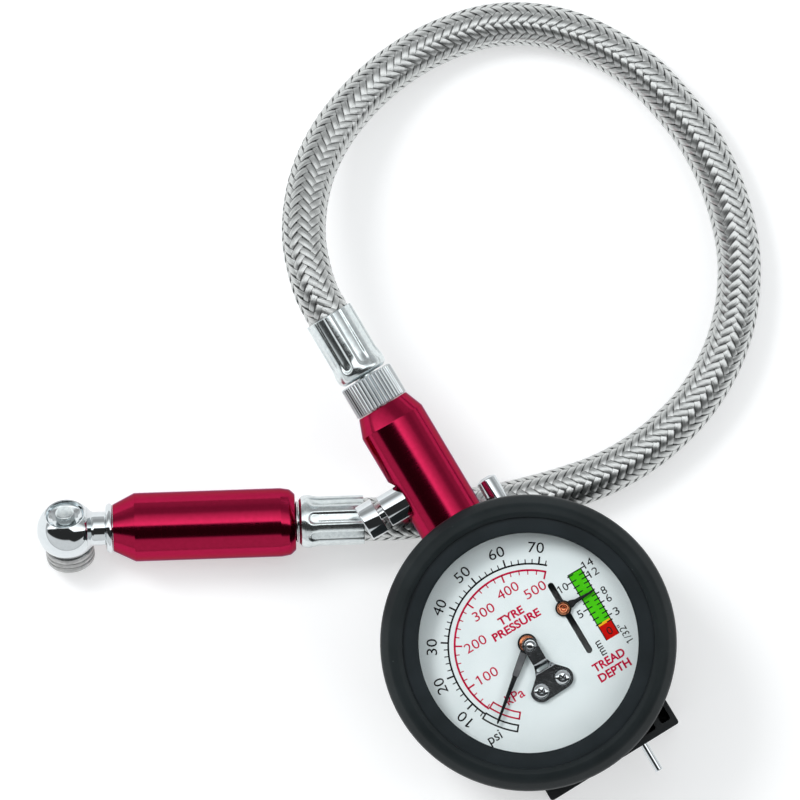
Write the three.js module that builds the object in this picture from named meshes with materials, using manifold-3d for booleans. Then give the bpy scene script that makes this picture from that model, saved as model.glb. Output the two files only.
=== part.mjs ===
// Tyre pressure and tread depth gauge: a dial gauge in a rubber boot on a tread depth housing, with an
// anodised handle, a bleed valve, a braided hose and a swivel ball chuck.
// Millimetres. +X is the gauge's right, +Y runs along the handle, +Z comes out of the dial.
// The origin is on the flat back of the tread housing, behind the centre of the dial.
import * as THREE from "three";
import { mergeVertices } from "three/addons/utils/BufferGeometryUtils.js";
import Module from "manifold-3d";

const wasm = await Module();
wasm.setup();

// ---------------------------------------------------------------------------- driving dimensions
const GAP = 0.3; // clearance between two pieces that touch
const RUN = 0.3; // running clearance of a shaft in its hole
const THROUGH = 1; // how far a cutting tool passes the surface it cuts

const HOUSING = { left: -14.8, right: 21.8, bottom: -36.6, top: 18, height: 17.7, corner: 1.2 };
const FLOOR = 1.6;
const WALL = 2.1;
const SIDE_WALL = 1;
const CHAMBER = { left: 6.1, right: 16.5 }; // the part of the housing that holds the rack and pinion

const BOOT = { radius: 37, bore: 33.9, back: 18, front: 41, lip: 31.3, shoulder: 3 };
const CASE = { radius: 33.6, wall: 1.2, back: 19.8, front: 38.4 };
const DIAL = { radius: 32, back: 32.4, front: 33 };
const BEZEL = { opening: 27.4, back: 38.7, front: 39.5 };
const LENS = { radius: 32.1, back: 37.2, front: 38.4 };
const SPACER = { bore: 31, radius: 32.1, back: 33.3, front: 36.9 };

const STEM = [-1, 0, 28]; // on the handle's axis, which runs along Y
const HANDLE = { radius: 8.6, start: 34.2, chamfer: 64.7, end: 69.4, tip: 6.75, bore: 4.8 };
const NUT = { radius: 6.9, bore: 3.8, start: 69.7, end: 77.8, flutes: 32 };
const FERRULE = { radius: 6.1, bulge: 6.6, bore: 3.2 };
const HANDLE_FERRULE = { start: 78.2, length: 17.5 };
const CHUCK_FERRULE = { start: -0.9, length: 16.3 };
const VALVE = { y: 46.4, radius: 4.15, inner: -2.7, outer: -14.2, bore: 2.7 };
const BUTTON = { radius: 4.65, face: -20.1, back: -15.6 };

const PIVOT = { x: 0, y: -0.8 }; // pressure pointer
const SCREWS = [[-3.4, -12.1], [2.9, -11.8]]; // bridge screws on the dial
const POINTER = { length: 21.1, rest: 216.3, back: 34.1, front: 34.5 };
const GEAR_MODULE = 0.3; // movement
const PINION_TEETH = 8;
const SECTOR_TEETH = 80;
const SECTOR = { x: -9.5, y: -10, back: 27.2, front: 28 };
const TUBE = { radius: 26.5, thick: 2.6, back: 22.5, front: 31.5, start: 76, end: -155 };

const ROD = { x: 11.8, z: 14.4, tip: -44, button: 40.9 };
const RACK_MODULE = 0.75; // tread depth rack and pinion
const SMALL_TEETH = 8;
const LARGE_TEETH = 12;
const GEAR_Y = -12;
const GEAR_Z = 9.6;
const SLOT = { x: 12.1, half: 10.1, radius: 0.8 }; // tread slot in the dial
const RIVET = { x: 12, y: 3 };
const TREAD_TIP_X = 20.5;

const CHUCK = { x: -34.6, y: 55.6, z: 11.1, turn: 151.15 }; // hose end of the chuck sleeve
const SLEEVE = { length: 45.7, radius: 8.6, hoseTip: 7.3, ballTip: 5.85 };
const BALL = { radius: 7.2, at: 57.3 };
const RECESS = { radius: 4.75, face: -5, floor: -3 }; // in the ball, opposite its collar
const CHUCK_TILT = 135; // chuck axis from straight up, about the sleeve
const CHUCK_LEAN = -4.1; // chuck axis from square to the sleeve
const HOSE_RADIUS = 5.5;

// The hose's centre line from the handle's ferrule to the chuck's ferrule.
const HOSE_ROUTE = [
  [-1, 96.2, 28], [-0.7, 102, 27.9], [0.8, 108.2, 27], [3.4, 115, 25], [7.8, 121.8, 22],
  [13.8, 128.2, 18.4], [21.8, 133.7, 14.4], [30.9, 137.6, 10.8], [40.5, 140, 8], [50.5, 140.9, 6.3],
  [60.6, 140.1, 5.7], [70.4, 137.6, 5.6], [79.4, 132.8, 5.6], [87.1, 125.9, 5.6], [93, 117.5, 5.6],
  [97.5, 108, 5.6], [100, 98, 5.6], [101.3, 87.7, 5.6], [100.9, 77.1, 5.6], [98.8, 66.5, 5.6],
  [95.1, 56.3, 5.6], [89.6, 47.4, 5.6], [82.9, 40, 5.6], [75, 34.1, 5.6], [66.2, 29.8, 5.6],
  [56.9, 27.2, 5.6], [47.2, 26, 5.6], [37, 26.4, 5.6], [26.6, 28.5, 5.6], [16.4, 31.4, 5.6],
  [6.2, 35.1, 6.2], [-3.2, 39, 8.4], [-11.8, 43.05, 10.9], [-19.27, 47.16, 11.1],
];

// ------------------------------------------------------------------------------------ materials
const paint = (color, roughness, metalness) =>
  new THREE.MeshStandardMaterial({ color, roughness, metalness });
const RUBBER = paint(0x23292a, 0.75, 0);
const BLACK_PLASTIC = paint(0x1a1c1d, 0.5, 0);
const BLACK_STEEL = paint(0x272c2d, 0.45, 0.4);
const BLACK_PAINT = paint(0x111213, 0.5, 0);
const DIAL_WHITE = paint(0xdee8e8, 0.6, 0);
const ACRYLIC = paint(0xe8f2f4, 0.05, 0);
const RED_ANODISED = paint(0x960a32, 0.25, 1);
const CHROME = paint(0xd8dcdc, 0.08, 1);
const ZINC = paint(0xb9c0c0, 0.3, 1);
const STEEL = paint(0xa8acad, 0.35, 1);
const BRASS = paint(0xc9a25a, 0.35, 1);
const COPPER = paint(0xdc825a, 0.3, 1);
const BRAID = paint(0xaaaaa8, 0.35, 0.9);
const SEAL = paint(0x151515, 0.8, 0);

// ---------------------------------------------------------------------------------- solid tools
// A three.js geometry as a closed solid with its faces pointing out.
function solid(geometry) {
  const bare = geometry.index ? geometry.toNonIndexed() : geometry.clone();
  bare.deleteAttribute("normal");
  bare.deleteAttribute("uv");
  const merged = mergeVertices(bare, 1e-4);
  const triVerts = [];
  for (let i = 0; i < merged.index.count; i += 3) {
    const [a, b, c] = merged.index.array.subarray(i, i + 3);
    if (a !== b && b !== c && c !== a) triVerts.push(a, b, c);
  }
  const build = (verts) =>
    new wasm.Manifold(
      new wasm.Mesh({
        numProp: 3,
        vertProperties: merged.attributes.position.array,
        triVerts: new Uint32Array(verts),
      }),
    );
  const made = build(triVerts);
  return made.volume() < 0 ? build(triVerts.reverse()) : made;
}

const cut = (body, ...tools) => tools.reduce((rest, tool) => rest.subtract(tool), body);
const join = (body, ...others) => others.reduce((sum, other) => sum.add(other), body);

// Turns local X, Y, Z onto the axes that follow each other from the named one, so that Z lies along it.
const AXES = {
  X: new THREE.Matrix4().makeBasis(
    new THREE.Vector3(0, 1, 0), new THREE.Vector3(0, 0, 1), new THREE.Vector3(1, 0, 0)),
  Y: new THREE.Matrix4().makeBasis(
    new THREE.Vector3(0, 0, 1), new THREE.Vector3(1, 0, 0), new THREE.Vector3(0, 1, 0)),
  Z: new THREE.Matrix4(),
};

// A profile of [radius, height] points turned about an axis through the given point.
function turned(axis, profile, sides = 24, at = [0, 0, 0]) {
  const points = profile.map(([r, h]) => new THREE.Vector2(r, h));
  const geometry = new THREE.LatheGeometry(points, sides);
  geometry.rotateX(Math.PI / 2).applyMatrix4(AXES[axis]).translate(...at);
  return solid(geometry);
}

// A solid cylinder or a tube from height a to height b.
const rod = (axis, radius, a, b, at, sides = 16) =>
  turned(axis, [[0, a], [radius, a], [radius, b], [0, b]], sides, at);
const ring = (axis, inner, outer, a, b, at, sides = 24) =>
  turned(axis, [[inner, a], [outer, a], [outer, b], [inner, b], [inner, a]], sides, at);

// An outline drawn across the axis, extruded along it from a to b.
function prism(axis, outline, a, b, curveSegments = 8) {
  const shape = Array.isArray(outline)
    ? new THREE.Shape(outline.map(([u, v]) => new THREE.Vector2(u, v)))
    : outline;
  const geometry = new THREE.ExtrudeGeometry(shape, {
    depth: b - a, bevelEnabled: false, curveSegments, steps: 1 });
  geometry.translate(0, 0, a).applyMatrix4(AXES[axis]);
  return solid(geometry);
}

function block(x0, x1, y0, y1, z0, z1) {
  const geometry = new THREE.BoxGeometry(x1 - x0, y1 - y0, z1 - z0);
  return solid(geometry.translate((x0 + x1) / 2, (y0 + y1) / 2, (z0 + z1) / 2));
}

// A rectangle with round corners.
function roundedRect(x0, y0, x1, y1, r) {
  const shape = new THREE.Shape();
  shape.moveTo(x0 + r, y0);
  shape.lineTo(x1 - r, y0).absarc(x1 - r, y0 + r, r, -Math.PI / 2, 0);
  shape.lineTo(x1, y1 - r).absarc(x1 - r, y1 - r, r, 0, Math.PI / 2);
  shape.lineTo(x0 + r, y1).absarc(x0 + r, y1 - r, r, Math.PI / 2, Math.PI);
  shape.lineTo(x0, y0 + r).absarc(x0 + r, y0 + r, r, Math.PI, Math.PI * 1.5);
  return shape;
}

const polar = (radius, degrees, centre = { x: 0, y: 0 }) => [
  centre.x + radius * Math.cos(THREE.MathUtils.degToRad(degrees)),
  centre.y + radius * Math.sin(THREE.MathUtils.degToRad(degrees)),
];

// A strip between two radii, from one angle to another in degrees.
function arcStrip(inner, outer, from, to, steps) {
  const angles = Array.from({ length: steps + 1 }, (_, i) => from + ((to - from) * i) / steps);
  return [...angles.map((a) => polar(outer, a)), ...angles.reverse().map((a) => polar(inner, a))];
}

// Gear teeth as an outline, with thinned teeth that leave working clearance. A tooth is centred on each
// multiple of the tooth angle from `first` to `last`.
function gearOutline(module, teeth, first, last, phase = 0) {
  const pitch = (module * teeth) / 2;
  const step = 360 / teeth;
  const [root, tip] = [pitch - 1.05 * module, pitch + 0.7 * module];
  const [footHalf, tipHalf] = [0.24 * step, 0.11 * step];
  const points = [];
  for (let tooth = first; tooth <= last; tooth++) {
    const at = phase + tooth * step;
    points.push(polar(root, at - footHalf), polar(tip, at - tipHalf));
    points.push(polar(tip, at + tipHalf), polar(root, at + footHalf));
  }
  return points;
}

// Rack teeth pointing along +v from a straight bar, between two ends on the u axis.
function rackOutline(module, from, to, bar, pitchLine, phase, way) {
  const step = Math.PI * module;
  const tip = pitchLine + way * 0.7 * module;
  const root = pitchLine - way * 1.05 * module;
  const points = [[from, bar], [from, root]];
  for (let at = Math.ceil((from - phase) / step + 0.3) * step + phase; at < to - 0.3 * step; at += step) {
    points.push([at - 0.24 * step, root], [at - 0.11 * step, tip]);
    points.push([at + 0.11 * step, tip], [at + 0.24 * step, root]);
  }
  points.push([to, root], [to, bar]);
  return points;
}

// ------------------------------------------------------------------------------------- assembly
const gauge = new THREE.Group();

// Adds a solid to a group as a named mesh.
function add(name, body, material, parent = gauge) {
  const { vertProperties, triVerts } = body.getMesh();
  const geometry = new THREE.BufferGeometry();
  geometry.setAttribute("position", new THREE.BufferAttribute(vertProperties, 3));
  geometry.setIndex(new THREE.BufferAttribute(triVerts, 1));
  geometry.computeVertexNormals();
  const mesh = new THREE.Mesh(geometry, material);
  mesh.name = name;
  parent.add(mesh);
}

// --- tread housing: an open tray behind the boot, with its foot along the bottom edge
const CASE_SCREWS = [[-9.7, -22], [-9.7, 12], [2.3, -22], [2.3, 12]];
const BOSS_TOP = CASE.back - GAP;

function treadHousing() {
  const { left, right, bottom, top, height, corner } = HOUSING;
  const pocket = (x0, x1, y0, y1) => block(x0, x1, y0, y1, FLOOR, height + THROUGH);
  const [pocketBottom, pocketTop] = [bottom + WALL, top - WALL];
  const tray = cut(
    prism("Z", roundedRect(left, bottom, right, top, corner), 0, height, 3),
    pocket(left + 2.4, CHAMBER.left - 1.1, -32, pocketTop),
    pocket(CHAMBER.left, CHAMBER.right, pocketBottom, pocketTop),
    pocket(CHAMBER.right + 1.3, right - SIDE_WALL, pocketBottom, pocketTop),
  );
  const filled = join(
    tray,
    ...CASE_SCREWS.map(([x, y]) => rod("Z", 3, FLOOR / 2, BOSS_TOP, [x, y, 0], 12)),
    block(13.8, CHAMBER.right + 0.5, pocketBottom - 0.5, pocketBottom + 3, FLOOR / 2, 9), // raised panel
    block(13.8, 15, GEAR_Y - 1.7, GEAR_Y + 1.7, FLOOR / 2, GEAR_Z + 1.8), // pinion bearing post
    block(10.6, 11.4, -33, 9.5, FLOOR / 2, 4.2), // slider guide rib
  );
  return cut(
    filled,
    ...CASE_SCREWS.map(([x, y]) => rod("Z", 1.55, -THROUGH, BOSS_TOP + THROUGH, [x, y, 0], 8)),
    ...CASE_SCREWS.map(([x, y]) => rod("Z", 2.9, -THROUGH, 3, [x, y, 0], 12)),
    rod("X", 0.8 + RUN, CHAMBER.left - 1.4, CHAMBER.right, [0, GEAR_Y, GEAR_Z], 16),
    rod("Y", 0.9 + RUN, bottom - THROUGH, pocketBottom + THROUGH, [ROD.x, 0, ROD.z], 16),
    block(ROD.x - 1.8, ROD.x + 1.8, pocketTop - THROUGH, top + THROUGH, 13.1, 15.7),
  );
}
add("tread_housing", treadHousing(), BLACK_PLASTIC);

CASE_SCREWS.forEach(([x, y], i) => {
  const profile = [[0, 0.6], [2.6, 0.6], [2.6, 1.9], [2, 2.7], [1.25, 2.7], [1.25, 22.2], [0, 22.2]];
  add(`case_screw_${i + 1}`, turned("Z", profile, 10, [x, y, 0]), ZINC);
});

// --- rack and pinion of the tread gauge, in the housing
const SMALL_PITCH = (RACK_MODULE * SMALL_TEETH) / 2;
const LARGE_PITCH = (RACK_MODULE * LARGE_TEETH) / 2;

function rackBar() {
  const teeth = rackOutline(RACK_MODULE, -22, -6, 15.4, GEAR_Z + SMALL_PITCH, GEAR_Y, -1);
  return cut(
    join(
      prism("X", teeth, ROD.x - 1.5, ROD.x + 1.5),
      block(ROD.x - 1.5, ROD.x + 1.5, -6.2, 25.7, 13.3, 15.4),
      block(ROD.x - 1.7, ROD.x + 1.7, -26, -21.8, 12.9, 15.9),
    ),
    rod("Y", 0.9 + GAP, -27, -22.8, [ROD.x, 0, ROD.z], 16),
  );
}
const probe = [[0, ROD.tip], [0.7, ROD.tip], [0.9, ROD.tip + 0.25], [0.9, -23.1], [0, -23.1]];
const thumb = [[0, 26], [1.9, 26], [2.6, 26.7], [2.6, 40.1], [1.9, ROD.button], [0, ROD.button]];
add("probe_pin", turned("Y", probe, 20, [ROD.x, 0, ROD.z]), CHROME);
add("rod_rack", rackBar(), STEEL);
add("thumb_button", turned("Y", thumb, 28, [ROD.x, 0, ROD.z]), CHROME);

// The small wheel meets the rod's rack above it, the large wheel the slider's rack below it.
function rackPinion() {
  const wheel = (teeth, phase, x0, x1) => {
    const shape = prism("X", gearOutline(RACK_MODULE, teeth, 0, teeth - 1, phase), x0, x1);
    return shape.translate([0, GEAR_Y, GEAR_Z]);
  };
  return join(
    wheel(SMALL_TEETH, 90 + 180 / SMALL_TEETH, 9.9, 13.2),
    wheel(LARGE_TEETH, 90 + 180 / LARGE_TEETH, 7.9, 9.9),
    rod("X", 0.8, 5.2, 14.6, [0, GEAR_Y, GEAR_Z], 16),
  );
}
add("rack_pinion", rackPinion(), BRASS);

function treadSlider() {
  const [back, top, post] = [2.2, 17.4, RIVET.x];
  return join(
    prism("X", rackOutline(RACK_MODULE, -20, 1, back, GEAR_Z - LARGE_PITCH, GEAR_Y, 1), 7.9, 10.1),
    block(6.4, 10.1, 0.8, 5.2, back, 4.3),
    block(6.4, 7.6, 0.8, 5.2, back, top),
    block(6.4, post + 1, 1.5, 4.5, 16.2, top),
    rod("Z", 0.7, top - 0.5, 31.5, [post, RIVET.y, 0], 16),
    rod("Z", 0.5, 31, DIAL.front + 0.1, [post, RIVET.y, 0], 16),
  );
}
add("tread_slider", treadSlider(), STEEL);

function treadPointer() {
  const { x, y } = RIVET;
  const blade = [[x, y - 1.3], [x + 3.4, y - 0.75], [TREAD_TIP_X, y - 0.12]];
  const outline = [...blade, ...blade.map(([u, v]) => [u, 2 * y - v]).reverse()];
  const [back, front] = [33.4, 33.8];
  const body = join(prism("Z", outline, back, front), rod("Z", 1.95, back, front, [x, y, 0], 20));
  return cut(body, rod("Z", 0.9, back - THROUGH, front + THROUGH, [x, y, 0], 16));
}
add("tread_pointer", treadPointer(), BLACK_PAINT);
const rivet = [[0, 33.4], [0.6, 33.4], [0.6, 34.1], [1.7, 34.1], [1.7, 34.5], [1.2, 34.9], [0, 35]];
add("slider_rivet", turned("Z", rivet, 16, [RIVET.x, RIVET.y, 0]), COPPER);

// --- case, boot, dial and window
const stemHole = (radius, sides = 32) => rod("Y", radius, 25, 45, STEM, sides);

function caseCup() {
  const { radius, wall, back, front } = CASE;
  const floor = back + 1;
  const profile = [[0, back], [radius, back], [radius, front], [radius - wall, front],
    [radius - wall, floor], [0, floor]];
  const slot = roundedRect(SLOT.x - 1.2, -10.6, SLOT.x + 1.2, 11.2, 1.1);
  return cut(
    turned("Z", profile, 48),
    prism("Z", slot, back - THROUGH, floor + THROUGH, 4),
    stemHole(4.9, 24),
    ...CASE_SCREWS.map(([x, y]) => rod("Z", 1.55, back - THROUGH, floor + THROUGH, [x, y, 0], 8)),
  );
}
add("case_cup", caseCup(), BLACK_STEEL);

// The boot has a small hood over the thumb button and a round hole for the handle.
function rubberBoot() {
  const { radius, bore, back, front, lip, shoulder } = BOOT;
  const bend = [1, 2].map((i) => {
    const [across, up] = polar(shoulder, i * 30);
    return [radius - shoulder + across, front - shoulder + up];
  });
  const profile = [
    [30, back], [radius - 1, back], [radius, back + 1], [radius, front - shoulder], ...bend,
    [radius - shoulder, front], [32.6, front - 0.1], [lip, front - 1], [lip, 39.8], [bore, 39.8],
    [bore, 19.5], [30, 19.5], [30, back],
  ];
  const hood = block(ROD.x - 3.9, ROD.x + 3.9, 32.5, 40, 13, back + 1);
  const hoodTop = hood.intersect(rod("Z", radius - 0.1, 10, 20, [0, 0, 0], 40));
  return cut(
    join(turned("Z", profile, 40), hoodTop),
    rod("Y", HANDLE.radius + GAP, 25, 45, STEM, 28),
    rod("Y", 2.6 + 2 * GAP, 30, 45, [ROD.x, 0, ROD.z], 16),
    block(ROD.x - 3.2, ROD.x + 3.2, 30, 45, 12, ROD.z),
  );
}
add("rubber_boot", rubberBoot(), RUBBER);
const CENTRE = [0, 0, 0];
const bezel = ring("Z", BEZEL.opening, CASE.radius, BEZEL.back, BEZEL.front, CENTRE, 48);
const spacer = ring("Z", SPACER.bore, SPACER.radius, SPACER.back, SPACER.front, CENTRE, 48);
add("bezel_ring", bezel, BLACK_STEEL);
add("lens", rod("Z", LENS.radius, LENS.back, LENS.front, CENTRE, 48), ACRYLIC);
add("dial_spacer", spacer, BLACK_PLASTIC);

function dialPlate() {
  const { x, half, radius } = SLOT;
  const slot = roundedRect(x - radius, -half, x + radius, half, radius - 0.01);
  const hole = (r, u, v) => rod("Z", r, DIAL.back - THROUGH, DIAL.front + THROUGH, [u, v, 0], 16);
  return cut(
    rod("Z", DIAL.radius, DIAL.back, DIAL.front, [0, 0, 0], 48),
    prism("Z", slot, DIAL.back - THROUGH, DIAL.front + THROUGH, 5),
    hole(1.2, PIVOT.x, PIVOT.y),
    ...SCREWS.map(([u, v]) => hole(1.1, u, v)),
  );
}
add("dial_plate", dialPlate(), DIAL_WHITE);

// --- bridge over the pointer's pivot, with two screws through the dial
function bridge() {
  const { x, y } = PIVOT;
  const side = [[y + 3, 35.6], [y + 3, 36.2], [-5.2, 36.2], [-7.8, 33.9], [-15.5, 33.9],
    [-15.5, 33.3], [-8.1, 33.3], [-5.5, 35.6]];
  const foot = new THREE.Shape();
  foot.absarc(SCREWS[0][0], SCREWS[0][1], 2.6, Math.PI * 0.86, Math.PI * 1.5);
  foot.absarc(SCREWS[1][0], SCREWS[1][1], 2.6, -Math.PI * 0.5, Math.PI * 0.14);
  foot.lineTo(x + 1.5, -6.2);
  foot.absarc(x, y, 1.9, -0.5, Math.PI + 0.5);
  foot.lineTo(x - 1.5, -6.2);
  const hole = (r, u, v) => rod("Z", r, 30, 40, [u, v, 0], 16);
  return cut(
    prism("X", side, -8, 8).intersect(prism("Z", foot, 30, 40, 10)),
    hole(0.65, x, y),
    ...SCREWS.map(([u, v]) => hole(1.1, u, v)),
  );
}
add("pointer_bridge", bridge(), CHROME);
SCREWS.forEach(([x, y], i) => {
  const profile = [[0, 28.5], [0.8, 28.5], [0.8, 34.2], [1.9, 34.2], [1.9, 34.8], [1.3, 35.3], [0, 35.4]];
  add(`bridge_screw_${i + 1}`, turned("Z", profile, 16, [x, y, 0]), CHROME);
});
const jewel = [[0, 35.65], [0.35, 35.65], [0.35, 36.45], [1.15, 36.45], [0.9, 36.8], [0.5, 36.95],
  [0, 37]];
add("pivot_bearing", turned("Z", jewel, 12, [PIVOT.x, PIVOT.y, 0]), CHROME);

// --- pressure pointer and its arbor
function pressurePointer() {
  const tip = POINTER.length;
  const edge = [[1.2, -1], [4, -0.85], [tip - 0.4, -0.18], [tip, 0]];
  const outline = [...edge, ...edge.slice(0, 3).reverse().map(([u, v]) => [u, -v])];
  const blade = prism("Z", outline, POINTER.back, POINTER.front).rotate([0, 0, POINTER.rest]);
  const body = join(blade, rod("Z", 2.45, POINTER.back - 0.4, POINTER.front, [0, 0, 0], 20));
  return cut(body, rod("Z", 1, 30, 40, [0, 0, 0], 16)).translate([PIVOT.x, PIVOT.y, 0]);
}
add("pressure_pointer", pressurePointer(), BLACK_PAINT);
const bush = [[0, 33.5], [0.7, 33.5], [0.7, 34.8], [2, 34.8], [2, 35.2], [1.7, 35.3], [0, 35.3]];
add("pointer_bush", turned("Z", bush, 16, [PIVOT.x, PIVOT.y, 0]), COPPER);

// The arbor's pinion has a gap towards the sector, where the sector has a tooth.
const MESH_ANGLE = THREE.MathUtils.radToDeg(Math.atan2(PIVOT.y - SECTOR.y, PIVOT.x - SECTOR.x));
function pointerArbor() {
  const phase = MESH_ANGLE + 180 + 180 / PINION_TEETH;
  const teeth = gearOutline(GEAR_MODULE, PINION_TEETH, 0, PINION_TEETH - 1, phase);
  const pinion = prism("Z", teeth, 26.6, 29);
  return join(pinion, rod("Z", 0.6, 23.6, 33.2, [0, 0, 0], 16)).translate([PIVOT.x, PIVOT.y, 0]);
}
add("pointer_arbor", pointerArbor(), STEEL);

// --- movement: bell-crank sector between two plates, driven by the Bourdon tube
const TAIL_ANGLE = 125;
const LINK_PIN = polar(7, TAIL_ANGLE, SECTOR);

function sectorGear() {
  const { x, y, back, front } = SECTOR;
  const teeth = gearOutline(GEAR_MODULE, SECTOR_TEETH, -5, 1, MESH_ANGLE);
  const wing = prism("Z", [[0, 0], ...teeth], back, front);
  const arm = prism("Z", roundedRect(-1.4, -1, 8, 1, 0.9), back, front, 3).rotate([0, 0, TAIL_ANGLE]);
  const hub = rod("Z", 1.6, back - 0.8, front + 0.4, [0, 0, 0], 20);
  return join(wing, arm, hub, rod("Z", 0.6, 23.6, 31.6, [0, 0, 0], 16)).translate([x, y, 0]);
}
add("sector_gear", sectorGear(), BRASS);

// Pivot holes and screw holes through both movement plates.
function movementPlate(outline, back, front) {
  const hole = (r, u, v) => rod("Z", r, back - THROUGH, front + THROUGH, [u, v, 0], 16);
  return cut(
    prism("Z", outline, back, front, 4),
    hole(0.6 + RUN, PIVOT.x, PIVOT.y),
    hole(0.6 + RUN, SECTOR.x, SECTOR.y),
  );
}
const basePlate = join(
  movementPlate(roundedRect(-12.5, -15, 5.5, 3.5, 2), 24, 25),
  block(-4, 4, 3, 30, 24, 25),
);
const topPlate = cut(
  movementPlate(roundedRect(-12.5, -15, 5.5, 3.5, 2), 31, 32),
  ...SCREWS.map(([u, v]) => rod("Z", 1.1, 30, 33, [u, v, 0], 16)),
);
add("movement_base", basePlate, BRASS);
add("movement_top_plate", topPlate, BRASS);
SCREWS.forEach(([x, y], i) => {
  add(`movement_pillar_${i + 1}`, ring("Z", 1.1, 2.1, 25.3, 30.7, [x, y, 0], 12), BRASS);
});

function hairspring() {
  const [inner, rise, turns, steps, half] = [1.7, 0.75, 2.4, 36, 0.13];
  const edge = (offset) =>
    Array.from({ length: steps + 1 }, (_, i) => {
      const t = (turns * i) / steps;
      return polar(inner + rise * t + offset, 360 * t, PIVOT);
    });
  return prism("Z", [...edge(half), ...edge(-half).reverse()], 29.6, 30.2);
}
add("hairspring", hairspring(), STEEL);

function bourdonSocket() {
  const body = join(
    prism("Z", roundedRect(-5.6, 21.5, 5.6, 31.6, 1), 25.3, 32, 3),
    rod("Y", 3.9, 31, 33, STEM, 20),
    rod("Y", 4.5, 32.3, 41, STEM, 20),
  );
  return cut(body, rod("Y", 1.5, 24, 42, STEM, 10));
}
add("bourdon_socket", bourdonSocket(), BRASS);

const tubeStrip = (inner, outer, from, to, steps, back, front) =>
  prism("Z", arcStrip(inner, outer, from, to, steps), back, front);
const [TUBE_IN, TUBE_OUT] = [TUBE.radius - TUBE.thick / 2, TUBE.radius + TUBE.thick / 2];
const bourdonTube = tubeStrip(TUBE_IN, TUBE_OUT, TUBE.end, TUBE.start, 30, TUBE.back, TUBE.front);
const bourdonTip = tubeStrip(22, TUBE_OUT + 0.6, TUBE.end - 8.5, TUBE.end - 0.8, 2, 24, 28.1);
add("bourdon_tube", bourdonTube, BRASS);
add("bourdon_tip", bourdonTip, BRASS);

function bourdonLink() {
  const far = polar(23.2, TUBE.end - 4.6);
  const [dx, dy] = [far[0] - LINK_PIN[0], far[1] - LINK_PIN[1]];
  const strip = prism("Z", roundedRect(-1, -0.8, Math.hypot(dx, dy) + 1, 0.8, 0.75), 28.4, 29, 4);
  return strip.rotate([0, 0, THREE.MathUtils.radToDeg(Math.atan2(dy, dx))]).translate([...LINK_PIN, 0]);
}
add("bourdon_link", bourdonLink(), STEEL);

// --- handle, bleed valve and hose end, all on the stem axis
const onStem = (profile, sides) => turned("Y", profile, sides, STEM);

function handleBody() {
  const { radius, start, chamfer, end, tip, bore } = HANDLE;
  const web = { from: 41.5, to: 60, bore: 2 }; // solid middle between the two sockets
  const profile = [[bore, start], [radius - GAP, start], [radius, start + GAP], [radius, chamfer],
    [tip, end], [bore, end], [bore, web.to], [web.bore, web.to], [web.bore, web.from],
    [bore, web.from], [bore, start]];
  const across = [0, VALVE.y, STEM[2]];
  return cut(
    onStem(profile, 28),
    rod("X", VALVE.radius + GAP, -11, VALVE.inner + GAP, across, 20),
    rod("X", 5.9, -11, -7.9, across, 24), // spot face around the valve
  );
}
add("handle_body", handleBody(), RED_ANODISED);

const bleed = [[1.5, VALVE.inner], [VALVE.radius, VALVE.inner], [VALVE.radius, VALVE.outer + 0.3],
  [VALVE.radius - 0.3, VALVE.outer], [VALVE.bore, VALVE.outer], [VALVE.bore, -4], [1.5, -4],
  [1.5, VALVE.inner]];
add("bleed_valve_body", turned("X", bleed, 20, [0, VALVE.y, STEM[2]]), CHROME);
const { radius: capR, face: capFace, back: capBack } = BUTTON;
const cap = [[0, capFace], [capR - 0.5, capFace], [capR, capFace + 0.5], [capR, capBack], [1.3, capBack],
  [1.3, -9], [2.3, -9], [2.3, -8.4], [0, -8.4]];
add("bleed_button", turned("X", cap, 20, [0, VALVE.y, STEM[2]]), CHROME);

function bleedSpring() {
  const [from, length, turns, coil] = [-8, 3.6, 2.5, 1.9];
  class Helix extends THREE.Curve {
    getPoint(t, target = new THREE.Vector3()) {
      const a = 2 * Math.PI * turns * t;
      return target.set(from + length * t, VALVE.y + coil * Math.cos(a), STEM[2] + coil * Math.sin(a));
    }
  }
  const wire = new THREE.Shape().absarc(0, 0, 0.25, 0, 2 * Math.PI);
  return solid(new THREE.ExtrudeGeometry(wire, {
    extrudePath: new Helix(), steps: 30, curveSegments: 2, bevelEnabled: false }));
}
add("bleed_spring", bleedSpring(), STEEL);

const swivelStem = [[1.2, 60.4], [4.5, 60.4], [4.5, 69], [3.4, 69.3], [3.4, 77.9],
  [2.8, 77.9], [2.8, 95.2], [1.2, 95.2], [1.2, 60.4]];
add("hose_stem", onStem(swivelStem, 18), ZINC);

function knurledNut() {
  const { radius, bore, start, end, flutes } = NUT;
  const points = [];
  for (let i = 0; i < flutes; i++) {
    const at = (360 * i) / flutes;
    points.push(polar(radius - 0.45, at - 3.6), polar(radius, at - 1.7), polar(radius, at + 1.7));
  }
  const fluted = prism("Y", points, start, end).translate(STEM);
  return cut(fluted, rod("Y", bore, start - THROUGH, end + THROUGH, STEM));
}
add("knurled_nut", knurledNut(), ZINC);

// A crimped ferrule along its own axis, with its bulge at the start and its mouth round the hose.
function ferruleProfile({ start, length }, way) {
  const { radius, bulge, bore } = FERRULE;
  const outside = [[bore, 0], [bulge - 1, 0], [bulge, 1], [bulge, 3.2], [radius, 4.4],
    [radius, length - 0.3], [radius - 0.3, length], [bore, length], [bore, 0]];
  return outside.map(([r, along]) => [r, start + way * along]);
}
add("handle_ferrule", onStem(ferruleProfile(HANDLE_FERRULE, 1)), ZINC);

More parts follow.
